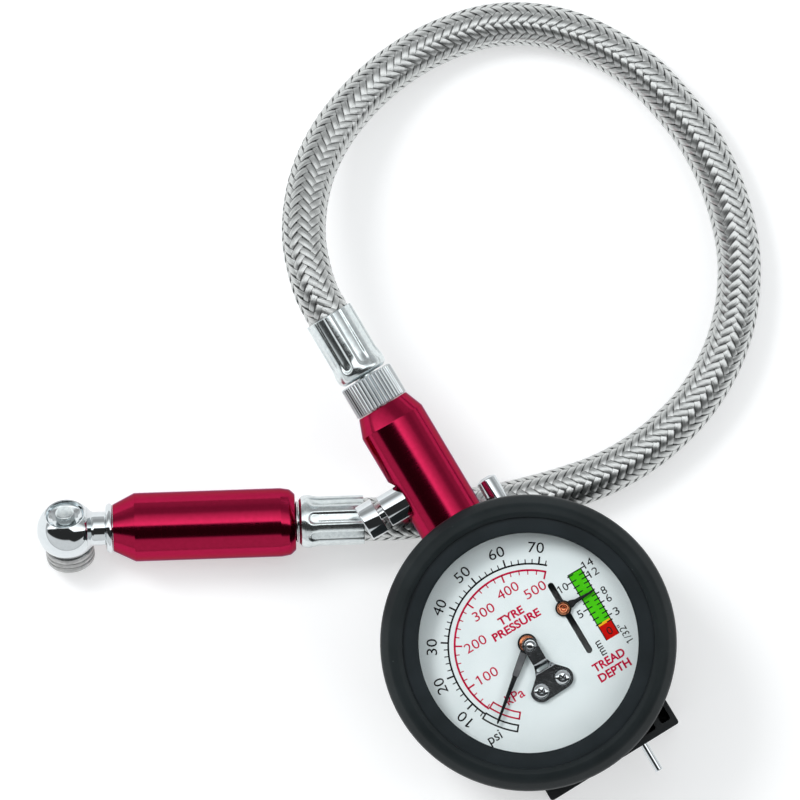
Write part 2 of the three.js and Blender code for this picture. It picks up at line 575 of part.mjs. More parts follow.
// --- braided hose
function hose() {
  const curve = new THREE.CatmullRomCurve3(
    HOSE_ROUTE.map((point) => new THREE.Vector3(...point)), false, "catmullrom", 0.5);
  const section = new THREE.Shape(
    Array.from({ length: 8 }, (_, i) => new THREE.Vector2(...polar(HOSE_RADIUS, i * 45 + 22.5))));
  return solid(new THREE.ExtrudeGeometry(section, {
    extrudePath: curve, steps: 50, bevelEnabled: false }));
}
add("braided_hose", hose(), BRAID);

// --- chuck: built along its own X axis from the hose end of the sleeve, then turned into place
const chuck = new THREE.Group();
chuck.position.set(CHUCK.x, CHUCK.y, CHUCK.z);
chuck.rotation.z = THREE.MathUtils.degToRad(CHUCK.turn);
gauge.add(chuck);

add("chuck_ferrule", turned("X", ferruleProfile(CHUCK_FERRULE, -1)), ZINC, chuck);
const nipple = [[1.2, -16.9], [2.8, -16.9], [2.8, -0.6], [5, -0.6], [5, -0.3], [4.5, 0], [4.5, 12.4],
  [1.2, 12.4], [1.2, -16.9]];
add("chuck_hose_stem", turned("X", nipple, 18), ZINC, chuck);

const sleeve = [[4.8, 0], [SLEEVE.hoseTip, 0], [SLEEVE.radius, 3.3], [SLEEVE.radius, SLEEVE.length - 5.8],
  [SLEEVE.ballTip, SLEEVE.length], [3.75, SLEEVE.length], [3.75, 28], [2, 28], [2, 12.8], [4.8, 12.8],
  [4.8, 0]];
add("chuck_sleeve", turned("X", sleeve, 28), RED_ANODISED, chuck);

const neck = [[1.2, 28.8], [3.4, 28.8], [3.4, 46], [6.05, 46], [6.05, 47.5], [4.25, 47.6], [4.25, 52],
  [1.2, 52], [1.2, 28.8]];
add("swivel_neck", turned("X", neck, 20), CHROME, chuck);

// The head's own Z axis runs from the ball to the mouth that goes on the tyre valve.
const head = new THREE.Group();
head.position.x = BALL.at;
head.rotation.set(
  -THREE.MathUtils.degToRad(CHUCK_TILT), THREE.MathUtils.degToRad(CHUCK_LEAN), 0, "XYZ");
chuck.add(head);

function chuckBall() {
  const { radius, at } = BALL;
  head.updateMatrix();
  const sphere = solid(new THREE.SphereGeometry(radius, 24, 14).rotateX(Math.PI / 2));
  const neckHole = new THREE.Matrix4().copy(head.matrix).invert();
  const socket = rod("X", 4.25 + GAP, at - 9, 52 + GAP, [0, 0, 0], 20).transform(
    neckHole.elements);
  return cut(
    sphere,
    socket,
    block(-9, 9, -9, 9, 4.9, 9), // flat behind the collar
    rod("Z", 4.3, 2.5, 6, [0, 0, 0], 24), // seat of the seal
    rod("Z", 1.9, -6, 4, [0, 0, 0], 14), // bore of the depressor pin
    block(-9, 9, -9, 9, -9, RECESS.face), // flat round the pin's head
    rod("Z", RECESS.radius, -6, RECESS.floor, [0, 0, 0], 24), // recess round the pin's head
  );
}
add("chuck_ball", chuckBall(), CHROME, head);
const underHead = RECESS.floor - GAP;
const depressor = [[0, -5.85], [2.3, -5.85], [2.5, -5.65], [2.5, underHead], [1.2, underHead], [1.2, 5],
  [0.9, 5.9], [0, 5.9]];
add("depressor_pin", turned("Z", depressor, 16), ZINC, head);
add("valve_seal", ring("Z", 1.9, 4, 2.8, 4.9, [0, 0, 0], 20), SEAL, head);
const collar = [[4.3, 5.2], [6.1, 5.2], [6.1, 6.4], [5.7, 6.8], [6.1, 7.1], [6.1, 7.9],
  [5.7, 8.2], [6.1, 8.5], [6.1, 9.5], [4.3, 9.5], [4.3, 5.2]];
add("chuck_collar", turned("Z", collar, 24), ZINC, head);

export default gauge;
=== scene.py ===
import math
import random

import bmesh
import bpy
import numpy as np
from mathutils import Matrix, Vector


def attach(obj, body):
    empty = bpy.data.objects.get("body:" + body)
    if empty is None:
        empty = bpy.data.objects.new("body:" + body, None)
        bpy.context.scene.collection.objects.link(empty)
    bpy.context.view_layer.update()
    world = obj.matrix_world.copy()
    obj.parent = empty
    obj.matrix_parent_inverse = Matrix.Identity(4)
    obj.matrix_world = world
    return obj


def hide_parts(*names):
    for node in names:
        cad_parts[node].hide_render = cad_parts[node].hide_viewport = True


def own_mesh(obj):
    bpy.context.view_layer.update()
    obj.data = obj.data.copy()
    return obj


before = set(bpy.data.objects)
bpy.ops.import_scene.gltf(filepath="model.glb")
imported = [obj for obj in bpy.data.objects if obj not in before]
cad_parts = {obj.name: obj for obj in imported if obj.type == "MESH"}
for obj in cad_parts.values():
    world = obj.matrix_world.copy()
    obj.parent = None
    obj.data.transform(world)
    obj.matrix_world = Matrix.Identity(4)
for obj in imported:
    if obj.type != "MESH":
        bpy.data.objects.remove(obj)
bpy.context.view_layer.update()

# Everything below is written in millimetres in the row frame and scaled to metres once, in make_mesh().
MM = 0.001
BODY = "gauge_body"
BEVEL_ANGLE = math.radians(40)  # edges sharper than this are rounded
random.seed(11)


# ---- mesh tools
def add_object(name, data):
    obj = bpy.data.objects.new(name, data)
    bpy.context.scene.collection.objects.link(obj)
    return obj


def make_mesh(name, verts, faces, material=None, node="", uvs=None, sharp=32, **piece):
    """A mesh from points in mm: smooth, with edges above `sharp` degrees kept sharp. With a material it
    is a finished piece, and without one it is a tool or a piece still to be cut."""
    mesh = bpy.data.meshes.new(name)
    mesh.from_pydata([tuple(c * MM for c in v) for v in verts], [], [tuple(f) for f in faces])
    if uvs is not None:
        layer = mesh.uv_layers.new(name="pattern")
        layer.data.foreach_set("uv", np.asarray(uvs, np.float32).ravel())
    tidy = bmesh.new()
    tidy.from_mesh(mesh)
    bmesh.ops.recalc_face_normals(tidy, faces=tidy.faces)
    tidy.to_mesh(mesh)
    tidy.free()
    obj = add_object(name, mesh)
    smooth(obj, sharp)
    return obj if material is None else finish_piece(obj, material, node, **piece)


def smooth(obj, sharp):
    obj.data.polygons.foreach_set("use_smooth", [True] * len(obj.data.polygons))
    obj.data.set_sharp_from_angle(angle=math.radians(sharp))


def paint(obj, *materials):
    obj.data.materials.clear()
    for material in materials:
        obj.data.materials.append(material)
    return obj


def finish_piece(obj, material, node="", body=BODY, slot=""):
    """Rides obj on its body and paints it with the material, in place of the CAD node, which is hidden. slot
    is not used.
    """
    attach(obj, body)
    if node:
        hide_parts(node)
    return paint(obj, material)


def evaluated_mesh(obj):
    graph = bpy.context.evaluated_depsgraph_get()
    return bpy.data.meshes.new_from_object(obj.evaluated_get(graph))


def apply_modifiers(obj, sharp):
    mesh = evaluated_mesh(obj)
    mesh.name = obj.name
    obj.modifiers.clear()
    obj.data = mesh
    smooth(obj, sharp)


def combine(obj, tools, operation="DIFFERENCE", sharp=32, bevel=0.0):
    """Cuts, joins or intersects obj with each tool, then rounds its edges by `bevel` mm."""
    for tool in tools:
        step = obj.modifiers.new("combine", "BOOLEAN")
        step.operation, step.object, step.solver = operation, tool, "EXACT"
    apply_modifiers(obj, sharp)
    for tool in tools:
        bpy.data.objects.remove(tool)
    if bevel:
        edge = obj.modifiers.new("bevel", "BEVEL")
        edge.width, edge.segments = bevel * MM, 2
        edge.limit_method, edge.angle_limit = "ANGLE", BEVEL_ANGLE
        apply_modifiers(obj, sharp)
    return obj


def rounded(profile, closed=False, steps=4):
    """A profile of (r, h) or (r, h, radius) points, with an arc at each point that has a radius."""
    out = []
    count = len(profile)
    for i, point in enumerate(profile):
        here = Vector(point[:2])
        radius = point[2] if len(point) > 2 else 0
        if not radius or (not closed and i in (0, count - 1)):
            out.append(here)
            continue
        before, after = Vector(profile[i - 1][:2]), Vector(profile[(i + 1) % count][:2])
        u, v = (before - here).normalized(), (after - here).normalized()
        half = u.angle(v) / 2
        reach = min(radius / math.tan(half), (before - here).length * 0.49, (after - here).length * 0.49)
        centre = here + (u + v).normalized() * (reach / math.cos(half))
        arm_a, arm_b = here + u * reach - centre, here + v * reach - centre
        for k in range(steps + 1):
            out.append(centre + arm_a.lerp(arm_b, k / steps).normalized() * arm_a.length)
    return [(p.x, p.y) for p in out]


# Turns local X, Y, Z onto the axes that follow each other from the named one, so Z lies along it.
AXES = {
    "X": Matrix(((0, 0, 1), (1, 0, 0), (0, 1, 0))).to_4x4(),
    "Y": Matrix(((0, 1, 0), (0, 0, 1), (1, 0, 0))).to_4x4(),
    "Z": Matrix.Identity(4),
}


def along(axis, at=(0, 0, 0)):
    return Matrix.Translation(at) @ AXES[axis]


def upright(x=0, y=0):
    return along("Z", (x, y, 0))


def rotated(degrees, axis):
    return Matrix.Rotation(math.radians(degrees), 4, axis)


def lathe(name, profile, place, segments, material=None, node="", ripple=None, steps=4, **piece):
    """A profile turned about the local Z axis: solid where it starts on the axis, else a closed ring.
    `ripple(angle, r, h)` gives another radius for a point."""
    closed = profile[0][0] > 0
    points = rounded(profile, closed, steps)
    verts, rings, lengths, run = [], [], [], 0.0
    widest = max(r for r, _ in points)
    for i, (r, h) in enumerate(points):
        if i:
            run += math.dist(points[i - 1], points[i])
        lengths.append(run)
        ring = []
        for k in range(1 if r < 1e-6 else segments):
            a = 2 * math.pi * k / segments
            radius = ripple(a, r, h) if ripple and r > 1e-6 else r
            ring.append(len(verts))
            verts.append(place @ Vector((radius * math.cos(a), radius * math.sin(a), h)))
        rings.append(ring)
    pairs = list(zip(range(len(points) - 1), range(1, len(points))))
    if closed:
        pairs.append((len(points) - 1, 0))
    faces, uvs = [], []
    for i, j in pairs:
        v0, v1 = lengths[i], lengths[j] if j else run + 0.5
        a, b = rings[i], rings[j]
        for k in range(segments):
            n = (k + 1) % segments
            u0, u1 = (2 * math.pi * widest * t / segments for t in (k, k + 1))
            corners = [(a[k % len(a)], (u0, v0)), (a[n % len(a)], (u1, v0)),
                       (b[n % len(b)], (u1, v1)), (b[k % len(b)], (u0, v1))]
            if 1 in (len(a), len(b)):  # one end of the strip is a point on the axis
                del corners[1 if len(a) == 1 else 2]
            faces.append(tuple(v for v, _ in corners))
            uvs += [uv for _, uv in corners]
    return make_mesh(name, verts, faces, material, node, uvs, **piece)


def closed_tube(first, rings, sides):
    """Faces over rings + 1 loops of points, counted from point `first`: the two ends, then the sides."""
    last = first + rings * sides
    faces = [tuple(range(first, first + sides))[::-1], tuple(range(last, last + sides))]
    for low in range(first, last, sides):
        for k in range(sides):
            n = (k + 1) % sides
            faces.append((low + k, low + n, low + sides + n, low + sides + k))
    return faces


def prism(name, outline, low, high, place=Matrix.Identity(4), **piece):
    """A flat outline of (x, y) points extruded from low to high along local Z."""
    verts = [place @ Vector((x, y, z)) for z in (low, high) for x, y in outline]
    return make_mesh(name, verts, closed_tube(0, 1, len(outline)), **piece)


def tool_box(low, high):
    (x0, y0, z0), (x1, y1, z1) = low, high
    return prism("tool", [(x0, y0), (x1, y0), (x1, y1), (x0, y1)], z0, z1)


def tool_rod(radius, low, high, place, segments=48):
    return lathe("tool", [(0, low), (radius, low), (radius, high), (0, high)], place, segments)


def arc(cx, cy, radius, start, end, steps=12):
    angles = [math.radians(start + (end - start) * k / steps) for k in range(steps + 1)]
    return [(cx + radius * math.cos(a), cy + radius * math.sin(a)) for a in angles]


def capsule(cx, cy, half_length, radius, along_y=True):
    """A slot outline with round ends."""
    reach = half_length - radius
    points = arc(0, reach, radius, 0, 180) + arc(0, -reach, radius, 180, 360)
    return [(cx + x, cy + y) if along_y else (cx + y, cy - x) for x, y in points]


# ---- materials
GRAIN_SIZE, LINE_SIZE, SKIN_SIZE = 0.00003, 0.00001, 0.00004  # metres, depth of a surface's bumps


class Nodes:
    """A node tree, with short ways to add the nodes that the finishes and the studio share."""

    def __init__(self, tree):
        self.nodes, self.links = tree.nodes, tree.links

    def put(self, socket, value):
        if isinstance(value, bpy.types.NodeSocket):
            self.links.new(value, socket)
        else:
            socket.default_value = value

    def fill(self, node, **inputs):
        for name, value in inputs.items():
            self.put(node.inputs[name.replace("_", " ")], value)
        return node

    def add(self, kind, **inputs):
        return self.fill(self.nodes.new("ShaderNode" + kind), **inputs)

    def compute(self, operation, *values):
        node = self.add("Math")
        node.operation = operation
        for socket, value in zip(node.inputs, values):
            self.put(socket, value)
        return node.outputs[0]

    def spread(self, value, low, high, from_low=0.35, from_high=0.65, shape="LINEAR"):
        """Maps from_low..from_high, by default the usual range of a noise, onto low..high."""
        node = self.add("MapRange", Value=value, From_Min=from_low, From_Max=from_high,
                        To_Min=low, To_Max=high)
        node.interpolation_type = shape
        return node.outputs["Result"]

    def noise(self, scale, detail=3.0, source=None, stretch=None):
        """Noise in the object's own space; scale is in features per metre."""
        if source is None:
            source = self.add("TexCoord").outputs["Object"]
        if stretch:
            source = self.add("Mapping", Vector=source, Scale=stretch).outputs["Vector"]
        return self.add("TexNoise", Vector=source, Scale=scale, Detail=detail).outputs["Fac"]

    def pattern(self):
        """The flat map of a turned piece or a ribbon, in mm."""
        node = self.add("UVMap")
        node.uv_map = "pattern"
        return node.outputs["UV"]

    def mix(self, factor, a, b):
        node = self.add("Mix")
        node.data_type = "RGBA"
        self.put(node.inputs["Factor"], factor)
        for name, colour in (("A", a), ("B", b)):
            socket = next(s for s in node.inputs if s.name == name and s.type == "RGBA")
            self.put(socket, colour if isinstance(colour, bpy.types.NodeSocket) else (*colour, 1))
        return next(s for s in node.outputs if s.type == "RGBA")


class Finish(Nodes):
    """A material whose shader is being set up."""

    def __init__(self, name, slot="", **sockets):
        self.material = bpy.data.materials.new(name)
        self.material.use_nodes = True
        super().__init__(self.material.node_tree)
        self.shader = self.nodes["Principled BSDF"]
        self.set(**sockets)

    def set(self, **sockets):
        self.fill(self.shader, **sockets)

    def bump(self, height, strength, size):
        self.set(Normal=self.add("Bump", Height=height, Strength=strength, Distance=size).outputs["Normal"])


def grained(name, light, dark, rough, mottle=300.0, grain=3000.0, bump=0.1, slot="", **sockets):
    """A finish with mottled colour, uneven gloss and a fine grain. rough is a (low, high) pair."""
    finish = Finish(name, slot, **sockets)
    patches = finish.spread(finish.noise(mottle), 0, 1)
    fine = finish.noise(grain, 2.0)
    finish.set(Base_Color=finish.mix(patches, dark, light), Roughness=finish.spread(fine, *rough))
    finish.bump(fine, bump, GRAIN_SIZE)
    return finish.material


def turned(name, light, dark, rough, lines=9.0, line_bump=0.15, slot="", **sockets):
    """Machined metal: fine rings round the axis of a turned piece, with faint specks of lighter and darker
    metal.
    """
    finish = Finish(name, slot, Metallic=1.0, **sockets)
    rings = finish.noise(lines, 4.0, finish.pattern(), stretch=(0.02, 1, 1))
    specks = finish.spread(finish.noise(900.0), 0, 1)
    finish.set(Base_Color=finish.mix(specks, dark, light), Roughness=finish.spread(rings, *rough))
    finish.bump(rings, line_bump, LINE_SIZE)
    return finish.material


def ink(name, light, dark):
    return grained(name, light, dark, (0.5, 0.6), bump=0.03, slot="dial_print", Specular_IOR_Level=0.08)


def rubber():
    """Matt moulded rubber with a fine skin and a few dust specks."""
    finish = Finish("rubber", Specular_IOR_Level=0.12)
    patches = finish.spread(finish.noise(90.0, 4.0), 0, 1)
    base = finish.mix(patches, (0.010, 0.0135, 0.0145), (0.0145, 0.019, 0.0205))
    cells = finish.add("TexVoronoi", Scale=420.0, Vector=finish.add("TexCoord").outputs["Object"])
    speck = finish.spread(cells.outputs["Distance"], 0.55, 0, 0.02, 0.07)
    few = finish.spread(finish.noise(260.0, 0.0), 0, 1, 0.66, 0.7)
    dusty = finish.mix(finish.compute("MULTIPLY", speck, few), base, (0.16, 0.17, 0.17))
    skin = finish.noise(2600.0, 2.0)
    finish.set(Base_Color=dusty, Roughness=finish.spread(skin, 0.36, 0.48))
    finish.bump(skin, 0.22, SKIN_SIZE)
    return finish.material


RIBBON_WIDTH = 1.74  # mm
WIRES = 7  # in one ribbon


def braid():
    """Flat ribbons of fine steel wires: the pattern map runs across (x) and along (y) each ribbon, in mm."""
    finish = Finish("braid", Metallic=1.0)
    pattern = finish.pattern()
    across = finish.add("SeparateXYZ", Vector=pattern).outputs["X"]
    wave = finish.compute("SINE", finish.compute("MULTIPLY", across, 2 * math.pi * WIRES / RIBBON_WIDTH))
    wires = finish.spread(wave, 0, 1, -0.9, 0.8)
    tone = finish.noise(0.9, 3.0, pattern, stretch=(3.0, 0.25, 1))
    metal = finish.mix(finish.spread(tone, 0, 1, 0.3, 0.7), (0.66, 0.68, 0.67), (0.92, 0.93, 0.91))
    wired = finish.mix(wires, (0.40, 0.41, 0.405), metal)
    # Painted shade: each ribbon is darkened along its two edges, where it meets the next ribbon.
    edge = finish.spread(finish.compute("ABSOLUTE", across), 0, 1, RIBBON_WIDTH * 0.37, RIBBON_WIDTH * 0.5)
    finish.set(Base_Color=finish.mix(edge, wired, (0.03, 0.032, 0.032)),
               Roughness=finish.spread(tone, 0.26, 0.38, 0.3, 0.7))
    finish.bump(wires, 0.22, SKIN_SIZE)
    return finish.material


def window():
    """Clear acrylic: nearly all of the light goes straight through, and the surface keeps a faint sheen."""
    finish = Finish("window", Base_Color=(0.02, 0.03, 0.035, 1))
    film = finish.noise(60.0, 2.0)
    finish.set(Roughness=finish.spread(film, 0.02, 0.06), Alpha=finish.spread(film, 0.01, 0.018))
    return finish.material


RUBBER = rubber()
BLACK_PLASTIC = grained("black_plastic", (0.02, 0.023, 0.024), (0.014, 0.016, 0.017), (0.38, 0.52),
                        150, 4200, 0.18, Specular_IOR_Level=0.25)
BEZEL_BLACK = grained("bezel_black", (0.014, 0.019, 0.022), (0.010, 0.014, 0.016), (0.36, 0.48),
                      120, 3600, 0.12, slot="black_steel", Specular_IOR_Level=0.14)
BLACK_STEEL = grained("black_steel", (0.02, 0.023, 0.025), (0.013, 0.015, 0.016), (0.3, 0.42),
                      180, 2600, 0.12, Metallic=0.3)
# A grey for a painted sheen: the plate that stands in for a reflection on the pressure hand.
PAINTED_SHEEN_GREY = grained("painted_sheen_grey", (0.15, 0.155, 0.16), (0.10, 0.105, 0.11), (0.3, 0.4), slot="black_paint",
                     Metallic=0.3)
BLACK_PAINT = grained("black_paint", (0.012, 0.013, 0.014), (0.006, 0.007, 0.008), (0.3, 0.42), 600, 5000,
                      Specular_IOR_Level=0.15)
DIAL_WHITE = grained("dial_white", (0.80, 0.875, 0.88), (0.76, 0.84, 0.845), (0.42, 0.52), 120, bump=0.04,
                     slot="dial_print", Specular_IOR_Level=0.15)
INK_BLACK = ink("ink_black", (0.014, 0.014, 0.015), (0.008, 0.008, 0.009))
INK_RED = ink("ink_crimson", (0.55, 0.005, 0.055), (0.48, 0.004, 0.045))
ZONE_GREEN = ink("zone_green", (0.07, 0.6, 0.006), (0.06, 0.54, 0.004))
ZONE_RED = ink("zone_red", (0.6, 0.004, 0.001), (0.53, 0.003, 0.001))
ZONE_YELLOW = ink("zone_yellow", (0.95, 0.5, 0.02), (0.9, 0.45, 0.015))
RED_ANODISED = turned("red_anodised", (0.38, 0.006, 0.048), (0.35, 0.005, 0.042), (0.12, 0.19), 5.0, 0.05,
                      Coat_Weight=0.15, Coat_Roughness=0.12, Specular_Tint=(0.5, 0.2, 0.42, 1))
CHROME = turned("chrome", (0.70, 0.735, 0.75), (0.67, 0.705, 0.72), (0.04, 0.08), line_bump=0.02)
ZINC = turned("zinc", (0.74, 0.79, 0.79), (0.64, 0.69, 0.70), (0.14, 0.26), line_bump=0.08)
SATIN_STEEL = turned("satin_steel", (0.48, 0.48, 0.475), (0.38, 0.38, 0.375), (0.28, 0.42), 6.0, 0.12,
                     slot="zinc")
STEEL = grained("steel", (0.58, 0.6, 0.6), (0.5, 0.52, 0.52), (0.28, 0.42), Metallic=1.0)
BRIDGE_CHROME = grained("bridge_chrome", (0.60, 0.63, 0.65), (0.54, 0.57, 0.59), (0.08, 0.13), 500, bump=0.01,
                        slot="chrome", Metallic=1.0)
BRASS = grained("brass", (0.74, 0.49, 0.19), (0.6, 0.38, 0.13), (0.26, 0.4), Metallic=1.0)
COPPER = grained("copper", (0.78, 0.30, 0.15), (0.62, 0.21, 0.1), (0.16, 0.28), 900, Metallic=1.0)
SEAL = grained("seal", (0.012, 0.012, 0.013), (0.007, 0.007, 0.008), (0.55, 0.7), bump=0.2)
HOSE_CORE = grained("hose_core", (0.03, 0.03, 0.031), (0.018, 0.018, 0.019), (0.5, 0.65))
BRAID = braid()
WINDOW = window()

# ---- camera
ROLL = math.radians(-30.8)  # the picture's right, turned from the gauge's +X
VIEW_CENTRE = (3.5, 68.4)  # mm, the point of the gauge in the middle of the picture
VIEW_WIDTH = 200.0  # mm across the picture, in the plane at VIEW_HEIGHT
VIEW_HEIGHT = 20.0  # mm
SENSOR, LENS = 36.0, 1000.0  # mm
FAR_CLIP = 20  # metres

camera_data = bpy.data.cameras.new("camera")
camera_data.sensor_width, camera_data.lens, camera_data.clip_end = SENSOR, LENS, FAR_CLIP
camera = add_object("camera", camera_data)
camera.location = Vector((*VIEW_CENTRE, VIEW_HEIGHT + VIEW_WIDTH * LENS / SENSOR)) * MM
camera.rotation_euler = (0, 0, ROLL)
bpy.context.scene.camera = camera

# ---- braided hose
# The centre line from the handle's ferrule to the chuck's ferrule, in mm.
HOSE_ROUTE = [
    (-1, 96.2, 28), (-0.7, 102, 27.9), (0.8, 108.2, 27), (3.4, 115, 25), (7.8, 121.8, 22),
    (13.8, 128.2, 18.4), (21.8, 133.7, 14.4), (30.9, 137.6, 10.8), (40.5, 140, 8),
    (50.5, 140.9, 6.3), (60.6, 140.1, 5.7), (70.4, 137.6, 5.6), (79.4, 132.8, 5.6),
    (87.1, 125.9, 5.6), (93, 117.5, 5.6), (97.5, 108, 5.6), (100, 98, 5.6), (101.3, 87.7, 5.6),
    (100.9, 77.1, 5.6), (98.8, 66.5, 5.6), (95.1, 56.3, 5.6), (89.6, 47.4, 5.6), (82.9, 40, 5.6),
    (75, 34.1, 5.6), (66.2, 29.8, 5.6), (56.9, 27.2, 5.6), (47.2, 26, 5.6), (37, 26.4, 5.6),
    (26.6, 28.5, 5.6), (16.4, 31.4, 5.6), (6.2, 35.1, 6.2), (-3.2, 39, 8.4), (-11.8, 43.05, 10.9),
    (-19.27, 47.16, 11.1),
]
ROUTE_STEPS = 24  # between two points of the route
HOSE_TUCK = 4.0  # how far each end goes on into its ferrule
CARRIERS = 12  # ribbons each way round
BRAID_LEAD = 29.0  # mm of hose for one turn of a ribbon
BRAID_RADIUS = 5.3  # middle of the weave
WEAVE_RISE = 0.2  # how far a ribbon passes over or under that
RIBBON_CROWN = (-0.07, 0.05, 0.05, -0.07)  # top of a ribbon, across it
RIBBON_THICK = 0.13
BRAID_STEPS = 600
CORE_RADIUS, CORE_SIDES = 4.95, 20
CORE_EVERY = 2  # braid steps for one of the core's


def smooth_route(route):
    """A Catmull-Rom curve through the points, its ends reflected, as a fine polyline."""
    points = [Vector(p) for p in route]
    padded = [2 * points[0] - points[1], *points, 2 * points[-1] - points[-2]]
    fine = []
    for p0, p1, p2, p3 in zip(padded, padded[1:], padded[2:], padded[3:]):
        for k in range(ROUTE_STEPS):
            t = k / ROUTE_STEPS
            fine.append(0.5 * (2 * p1 + (p2 - p0) * t + (2 * p0 - 5 * p1 + 4 * p2 - p3) * t * t
                               + (3 * p1 - p0 - 3 * p2 + p3) * t ** 3))
    return fine + [points[-1]]


def even_steps(line, count):
    """The polyline at count + 1 equal steps, and its length."""
    points = np.array([tuple(p) for p in line])
    run = np.concatenate([[0], np.cumsum(np.linalg.norm(np.diff(points, axis=0), axis=1))])
    wanted = np.linspace(0, run[-1], count + 1)
    return np.stack([np.interp(wanted, run, points[:, i]) for i in range(3)], axis=1), run[-1]


def carried_frames(line):
    """Two unit vectors across the line at each point, carried along it without twist, and its direction."""
    ways = np.gradient(line, axis=0)
    ways /= np.linalg.norm(ways, axis=1)[:, None]
    side = Vector((0, 0, 1)).cross(Vector(ways[0])).normalized()
    sides = []
    for i, way in enumerate(ways):
        if i:
            turn = Vector(ways[i - 1]).rotation_difference(Vector(way))
            side = (turn @ side).normalized()
        sides.append(tuple(side))
    sides = np.array(sides)
    return sides, np.cross(ways, sides), ways


def weave_height(crossing):
    """Over two ribbons, under two: +1 at crossings 0 and 1, -1 at 2 and 3, smooth between."""
    return np.clip(np.sin((crossing + 0.5) * np.pi / 2) * 1.15, -1, 1)


def hose_braid():
    line = smooth_route(HOSE_ROUTE)
    line.insert(0, line[0] + (line[0] - line[1]).normalized() * HOSE_TUCK)
    line.append(line[-1] + (line[-1] - line[-2]).normalized() * HOSE_TUCK)
    centre, length = even_steps(line, BRAID_STEPS)
    side, up, way = carried_frames(centre)
    distance = np.linspace(0, length, BRAID_STEPS + 1)
    slant = math.atan(2 * math.pi * BRAID_RADIUS / BRAID_LEAD)
    across = np.linspace(-0.5, 0.5, len(RIBBON_CROWN)) * RIBBON_WIDTH
    section = [*zip(across, RIBBON_CROWN), (across[-1], -RIBBON_THICK), (across[0], -RIBBON_THICK)]
    sides = len(section)
    verts, faces, uvs = [], [], []
    for turn in (1, -1):
        for carrier in range(CARRIERS):
            angle = 2 * math.pi * (carrier / CARRIERS + turn * distance / BRAID_LEAD)
            crossing = 2 * carrier + turn * 2 * CARRIERS * distance / BRAID_LEAD
            rise = turn * weave_height(crossing) * WEAVE_RISE
            tilt = random.uniform(-0.02, 0.02)
            start = random.uniform(0, 400)
            rows = []
            for v, crown in section:
                theta = angle + math.cos(slant) * v / BRAID_RADIUS
                radius = BRAID_RADIUS + rise + crown + tilt * v
                out = side * np.cos(theta)[:, None] + up * np.sin(theta)[:, None]
                rows.append(centre - way * (turn * math.sin(slant) * v) + out * radius[:, None])
            faces += closed_tube(len(verts), BRAID_STEPS, sides)
            verts += list(np.stack(rows, axis=1).reshape(-1, 3))
            uvs += [(0, 0)] * (2 * sides)
            run = start + distance / math.cos(slant)
            for here, ahead in zip(run, run[1:]):
                for k in range(sides):
                    v0, v1 = section[k][0], section[(k + 1) % sides][0]
                    uvs += [(v0, here), (v1, here), (v1, ahead), (v0, ahead)]
    braid_faces = len(faces)
    core = closed_tube(len(verts), BRAID_STEPS // CORE_EVERY, CORE_SIDES)
    for i in range(0, BRAID_STEPS + 1, CORE_EVERY):
        for k in range(CORE_SIDES):
            a = 2 * math.pi * k / CORE_SIDES
            verts.append(centre[i] + (side[i] * math.cos(a) + up[i] * math.sin(a)) * CORE_RADIUS)
    faces += core
    uvs += [(0, 0)] * sum(len(f) for f in core)
    braided = make_mesh("hose_braid", verts, faces, BRAID, "braided_hose", uvs, sharp=50)
    paint(braided, BRAID, HOSE_CORE)
    inner = np.zeros(len(faces), np.int32)
    inner[braid_faces:] = 1
    braided.data.polygons.foreach_set("material_index", inner)
    return braided, centre * MM, length * MM


hose, hose_path, hose_length = hose_braid()

# ---- places
STEM = (-1, 0, 28)  # on the handle's axis, which runs along +Y
VALVE_AT = (0, 46.4, 28)  # on the bleed valve's axis, along +X
ROD_AT = (11.8, 0, 14.4)  # on the probe rod's axis, along +Y
PIVOT = (0, -0.8)  # of the pressure pointer
BRIDGE_SCREWS = ((-3.4, -12.1), (2.9, -11.8))
RIVET = (11.9, 2.9)  # of the tread pointer
CASE_SCREWS = [(x, y) for x in (-9.7, 2.3) for y in (-22, 12)]
CHUCK_AT, CHUCK_TURN = (-34.6, 55.6, 11.1), 151.15  # hose end of the sleeve; degrees from +X to its axis
BALL_AT = 57.24  # mm along the chuck's axis
HEAD_ROLL, HEAD_LEAN = -135, -4.1  # degrees, of the collar: round the chuck's axis, and off square to it

ON_STEM, ON_VALVE, ON_ROD = along("Y", STEM), along("X", VALVE_AT), along("Y", ROD_AT)
CHUCK = Matrix.Translation(CHUCK_AT) @ rotated(CHUCK_TURN, "Z")
HEAD = CHUCK @ Matrix.Translation((BALL_AT, 0, 0)) @ rotated(HEAD_ROLL, "X") @ rotated(HEAD_LEAN, "Y")
ON_CHUCK = CHUCK @ AXES["X"]

# ---- boot, bezel, window
BOOT_R, BOOT_TOP, LIP_R = 37.0, 41.0, 31.4
HOOD_R, HOOD_NOTCH = 3.9, 3.2  # the hood over the thumb button, and half the width of its opening


